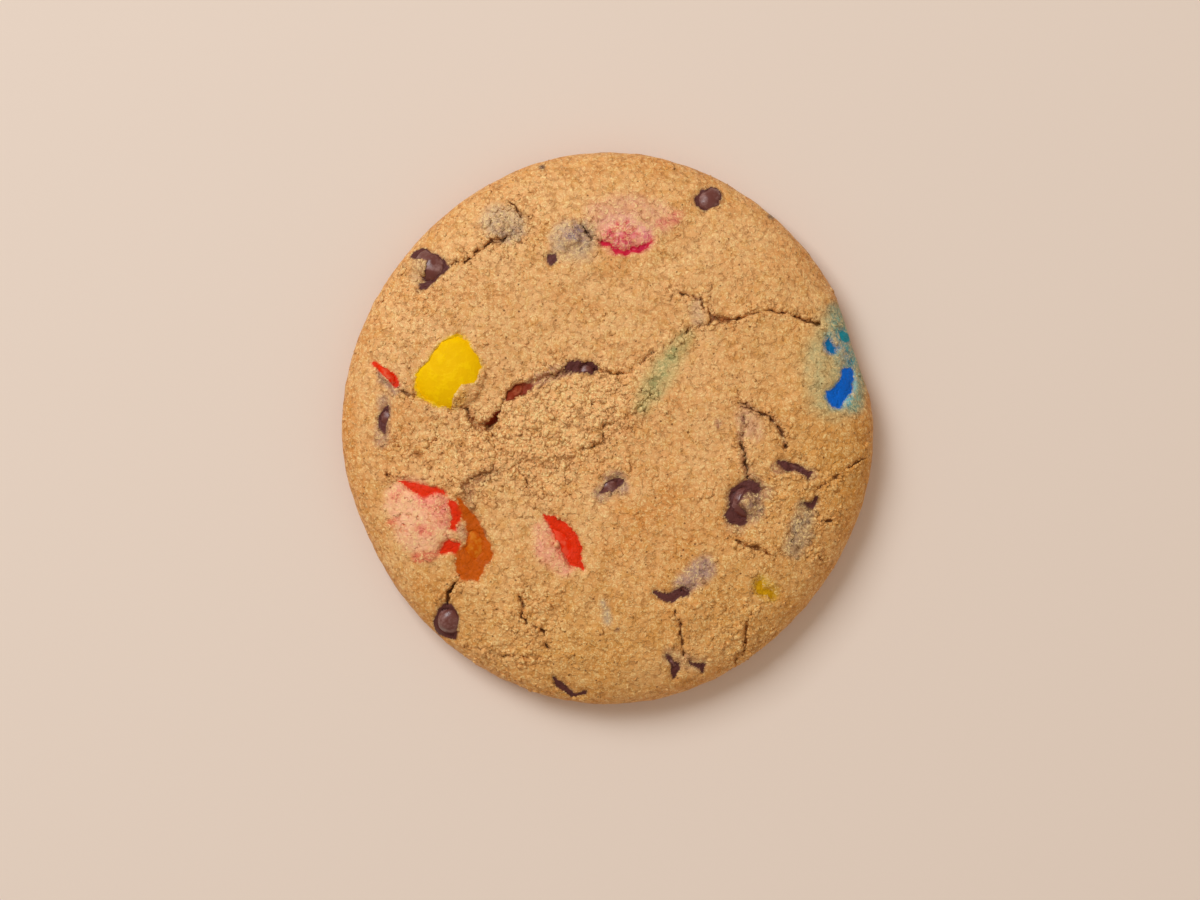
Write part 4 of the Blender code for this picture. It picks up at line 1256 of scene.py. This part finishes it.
class COOKIE_OT_scatter_crumbs(Operator):
    """Scatter granules of crumb over the dough"""

    bl_idname = "cookie.scatter_crumbs"
    bl_label = "Scatter Crumbs"

    def execute(self, context):
        granule = context.scene.cookie_sizes.granule
        dough = bpy.data.objects["baked_dough"]
        rng = np.random.default_rng(CRUMB_SEED)
        for name, scale, count in CRUMBS:
            self.scatter(dough, name, granule * scale, count, rng)
        return {"FINISHED"}

    def scatter(self, dough, name, size, count, rng):
        """Join many granules of one size into a piece, each half sunk into the dough."""
        points, normals = coordinates(dough.data), vertex_normals(dough.data)
        x, y = points[:, 0] / MM, points[:, 1] / MM
        crack_gap = crack_gaps(x, y)[0]
        steep = 1 - smooth_step(normals[:, 2] * 2)
        free = (points[:, 2] > GRANULE_CLEARANCE * size) * (window_gaps(x, y) > WINDOW_CLEARANCE)
        loose = FLUFF_CRUMBS * patches(x, y, FLUFF)
        loose += CRACK_CRUMBS * np.exp(-np.abs(crack_gap) / CRACK_CRUMBS_REACH)
        loose *= free * (1 - STEEP_LOSS * steep)
        chosen = rng.choice(len(points), count, replace=False, p=loose / loose.sum())

        ball, faces = self.seed()
        placed, height = self.granules(ball, points[chosen], normals[chosen], steep[chosen], size, rng)
        corners = (faces[None] + np.arange(count)[:, None, None] * len(ball)).reshape(-1, 3)
        mesh = bpy.data.meshes.new(name)
        mesh.from_pydata(placed.reshape(-1, 3).tolist(), [], corners.tolist())
        mesh.shade_smooth()
        piece = bpy.data.objects.new(name, mesh)
        bpy.context.scene.collection.objects.link(piece)

        east, north = placed.reshape(-1, 3)[:, :2].T / MM
        colour = staining(x[chosen], y[chosen])
        colour[:, 3] *= on_crust(points[chosen][:, 2] / MM)
        store(mesh, "stain", np.repeat(colour, len(ball), axis=0), "FLOAT_COLOR")
        store(mesh, "toast", patches(east, north, TOAST))
        store(mesh, "gold", patches(east, north, GOLD))
        store(mesh, "glaze", np.repeat(glazing(x[chosen], y[chosen]), len(ball)))
        store(mesh, "looseness", looseness(east, north))
        store(mesh, "crack", np.repeat(np.maximum(crack_gap[chosen], CRACK_CLEARANCE), len(ball)))
        store(mesh, "split", np.full(count * len(ball), NO_GAP_NEAR))
        store(mesh, "tone", np.repeat(rng.uniform(-1, 1, count), len(ball)))
        store(mesh, "relief", height.reshape(-1) * GRANULE_RELIEF)
        mesh.materials.append(dough.data.materials[0])
        settle(piece, "dough")

    def seed(self):
        """Model the ball that every granule is shaped from, and give its points and faces."""
        deselect_all()
        bpy.ops.mesh.primitive_ico_sphere_add(subdivisions=1, radius=0.5)
        ball = bpy.context.object
        points = coordinates(ball.data)
        faces = np.array([tuple(face.vertices) for face in ball.data.polygons])
        bpy.data.objects.remove(ball)
        return points, faces

    def granules(self, ball, roots, normals, steep, size, rng):
        """Shape, turn and sink a granule at each root: its points in metres, and how far they stand out."""
        count = len(roots)
        spin = rng.normal(size=(count, 4))
        spin /= np.linalg.norm(spin, axis=1)[:, None]
        stretch = np.column_stack([rng.uniform(low, high, count) for low, high in GRANULE_SHAPE])
        lumpy = ball[None] * (1 + rng.uniform(-GRANULE_LUMPS, GRANULE_LUMPS, (count, len(ball), 1)))
        turned = rotate(lumpy * stretch[:, None], spin)
        size_here = size * rng.uniform(*GRANULE_SIZES, count)
        height = np.einsum("nkj,nj->nk", turned, normals)
        flat = rng.uniform(*GRANULE_FLATNESS, count)
        turned = turned - normals[:, None] * (height * (1 - flat[:, None]))[:, :, None]
        lift = rng.uniform(*GRANULE_LIFT, count) * size_here
        offset = turned * size_here[:, None, None] + (normals * lift[:, None])[:, None]
        placed = roots[:, None] + offset * (1 - STEEP_SHRINK * steep)[:, None, None]
        return placed, height * size_here[:, None] / MM


def rotate(points, quaternions):
    """Turn each group of points by its own quaternion."""
    real, axis = quaternions[:, :1], quaternions[:, 1:]
    axis = np.broadcast_to(axis[:, None], points.shape)
    across = 2 * np.cross(axis, points)
    return points + real[:, None] * across + np.cross(axis, across)


def smoothed_copy(node, name):
    """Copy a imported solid, join its loose triangles into quads, and subdivide it smooth."""
    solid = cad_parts[node]
    piece = bpy.data.objects.new(name, solid.data.copy())
    bpy.context.scene.collection.objects.link(piece)
    piece.data.materials.clear()
    select_only(piece)
    bpy.ops.object.mode_set(mode="EDIT")
    bpy.ops.mesh.select_all(action="SELECT")
    bpy.ops.mesh.remove_doubles(threshold=WELD)
    bpy.ops.mesh.tris_convert_to_quads(face_threshold=QUAD_ANGLE, shape_threshold=QUAD_ANGLE)
    bpy.ops.mesh.normals_make_consistent(inside=False)
    bpy.ops.object.mode_set(mode="OBJECT")
    add_modifier(piece, "SUBSURF", levels=SMOOTHING, render_levels=SMOOTHING)
    return piece


class COOKIE_OT_set_candies(Operator):
    """Make the sugar-coated candies and their slivers"""

    bl_idname = "cookie.set_candies"
    bl_label = "Set Candies"

    def execute(self, context):
        colours = context.scene.cookie_colours
        # the slot, the colour, the tone it has melted to, and how worn the shell is
        shells = {
            "candy_yellow": ("candy_yellow", colours.yellow, shade(246, 197, 0), 0.0),
            "candy_red_left": ("candy_red", colours.red, shade(232, 84, 20), 0.10),
            "candy_red_right": ("candy_red", colours.red, shade(236, 84, 56), 0.08),
            "candy_red_shard": ("candy_red", colours.red, shade(226, 92, 62), 0.20),
            "candy_orange": ("candy_orange", colours.orange, shade(214, 126, 34), 0.06),
            "candy_pink": ("candy_pink", colours.pink, shade(226, 84, 108), 0.25),
            "candy_blue": ("candy_blue", colours.blue, shade(0, 124, 206), 0.0),
            "candy_brown_shard": ("candy_brown", colours.brown, shade(176, 88, 60), 0.15),
        }
        width, depth = SHELL_DIMPLES
        dimples = grain_texture("shell_dimples", "CLOUDS", width, noise_depth=1)
        for node, (slot, colour, melted, worn) in shells.items():
            piece = smoothed_copy(node, f"{node}_shell")
            displace(piece, dimples, depth)
            bpy.ops.object.shade_smooth()
            piece.data.materials.append(shell_material(f"{node}_sugar", colour, melted, worn))
            settle(piece, slot, node)
        return {"FINISHED"}


class COOKIE_OT_set_chips(Operator):
    """Make the chocolate chips"""

    bl_idname = "cookie.set_chips"
    bl_label = "Set Chips"

    def execute(self, context):
        chocolate = chocolate_material(context.scene.cookie_colours)
        width, depth = CHOCOLATE_MELT
        melt = grain_texture("melt", "CLOUDS", width, noise_depth=2)
        for node in sorted(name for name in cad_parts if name.startswith("chip_")):
            piece = smoothed_copy(node, f"{node}_melted")
            displace(piece, melt, depth)
            bpy.ops.object.shade_smooth()
            piece.data.materials.append(chocolate)
            settle(piece, "chocolate", node)
        return {"FINISHED"}


class COOKIE_OT_set_stage(Operator):
    """Lay the pale table and set the light and the camera"""

    bl_idname = "cookie.set_stage"
    bl_label = "Set Stage"

    def execute(self, context):
        scene = context.scene
        deselect_all()
        bpy.ops.mesh.primitive_plane_add(size=TABLE_SIZE, location=(0, 0, 0))
        table = context.object
        table.name = "table"
        table.data.materials.append(table_material(scene.cookie_colours))
        for light in LIGHTS:
            self.light(*light)
        scene.world = bpy.data.worlds.new("studio")
        scene.world.use_nodes = True
        background = scene.world.node_tree.nodes["Background"]
        background.inputs["Color"].default_value = SURROUND_COLOUR
        background.inputs["Strength"].default_value = SURROUND_STRENGTH
        self.camera(scene)
        scene.view_settings.view_transform = "Standard"
        return {"FINISHED"}

    def light(self, name, place, size, power, colour):
        """A square soft box that looks at the cookie."""
        lamp = bpy.data.lights.new(name, "AREA")
        lamp.size = size
        lamp.energy = power
        lamp.color = colour
        holder = bpy.data.objects.new(name, lamp)
        holder.location = place
        holder.rotation_euler = Vector(place).to_track_quat("Z", "Y").to_euler()
        bpy.context.scene.collection.objects.link(holder)

    def camera(self, scene):
        """Look straight down, with the cookie a little right of the middle and above it."""
        lens = bpy.data.cameras.new("camera")
        lens.sensor_width = SENSOR_WIDTH
        lens.lens = SENSOR_WIDTH * CAMERA_DISTANCE / CAMERA_SPAN
        lens.clip_start = CAMERA_NEAREST
        holder = bpy.data.objects.new("camera", lens)
        holder.location = Vector(CAMERA_AIM) * MM + Vector((0, 0, CAMERA_DISTANCE))
        scene.collection.objects.link(holder)
        scene.camera = holder


class COOKIE_PT_panel(Panel):
    """The cookie's pieces and sizes"""

    bl_label = "Candy Chip Cookie"
    bl_idname = "COOKIE_PT_panel"
    bl_space_type = "VIEW_3D"
    bl_region_type = "UI"
    bl_category = "Cookie"

    def draw(self, context):
        layout = self.layout
        for step in STEPS:
            layout.operator(step.bl_idname)
        for group in (context.scene.cookie_sizes, context.scene.cookie_colours):
            for name in group.bl_rna.properties.keys():
                if name not in {"rna_type", "name"}:
                    layout.prop(group, name)


STEPS = (
    COOKIE_OT_lay_dough,
    COOKIE_OT_scatter_crumbs,
    COOKIE_OT_set_candies,
    COOKIE_OT_set_chips,
    COOKIE_OT_set_stage,
)
CLASSES = (CookieSizes, CookieColours, *STEPS, COOKIE_PT_panel)


def register():
    for cls in CLASSES:
        bpy.utils.register_class(cls)
    bpy.types.Scene.cookie_sizes = PointerProperty(type=CookieSizes)
    bpy.types.Scene.cookie_colours = PointerProperty(type=CookieColours)


def unregister():
    del bpy.types.Scene.cookie_colours
    del bpy.types.Scene.cookie_sizes
    for cls in reversed(CLASSES):
        bpy.utils.unregister_class(cls)


def main():
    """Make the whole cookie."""
    register()
    bpy.ops.cookie.lay_dough()
    bpy.ops.cookie.scatter_crumbs()
    bpy.ops.cookie.set_candies()
    bpy.ops.cookie.set_chips()
    bpy.ops.cookie.set_stage()


if __name__ == "__main__":
    main()
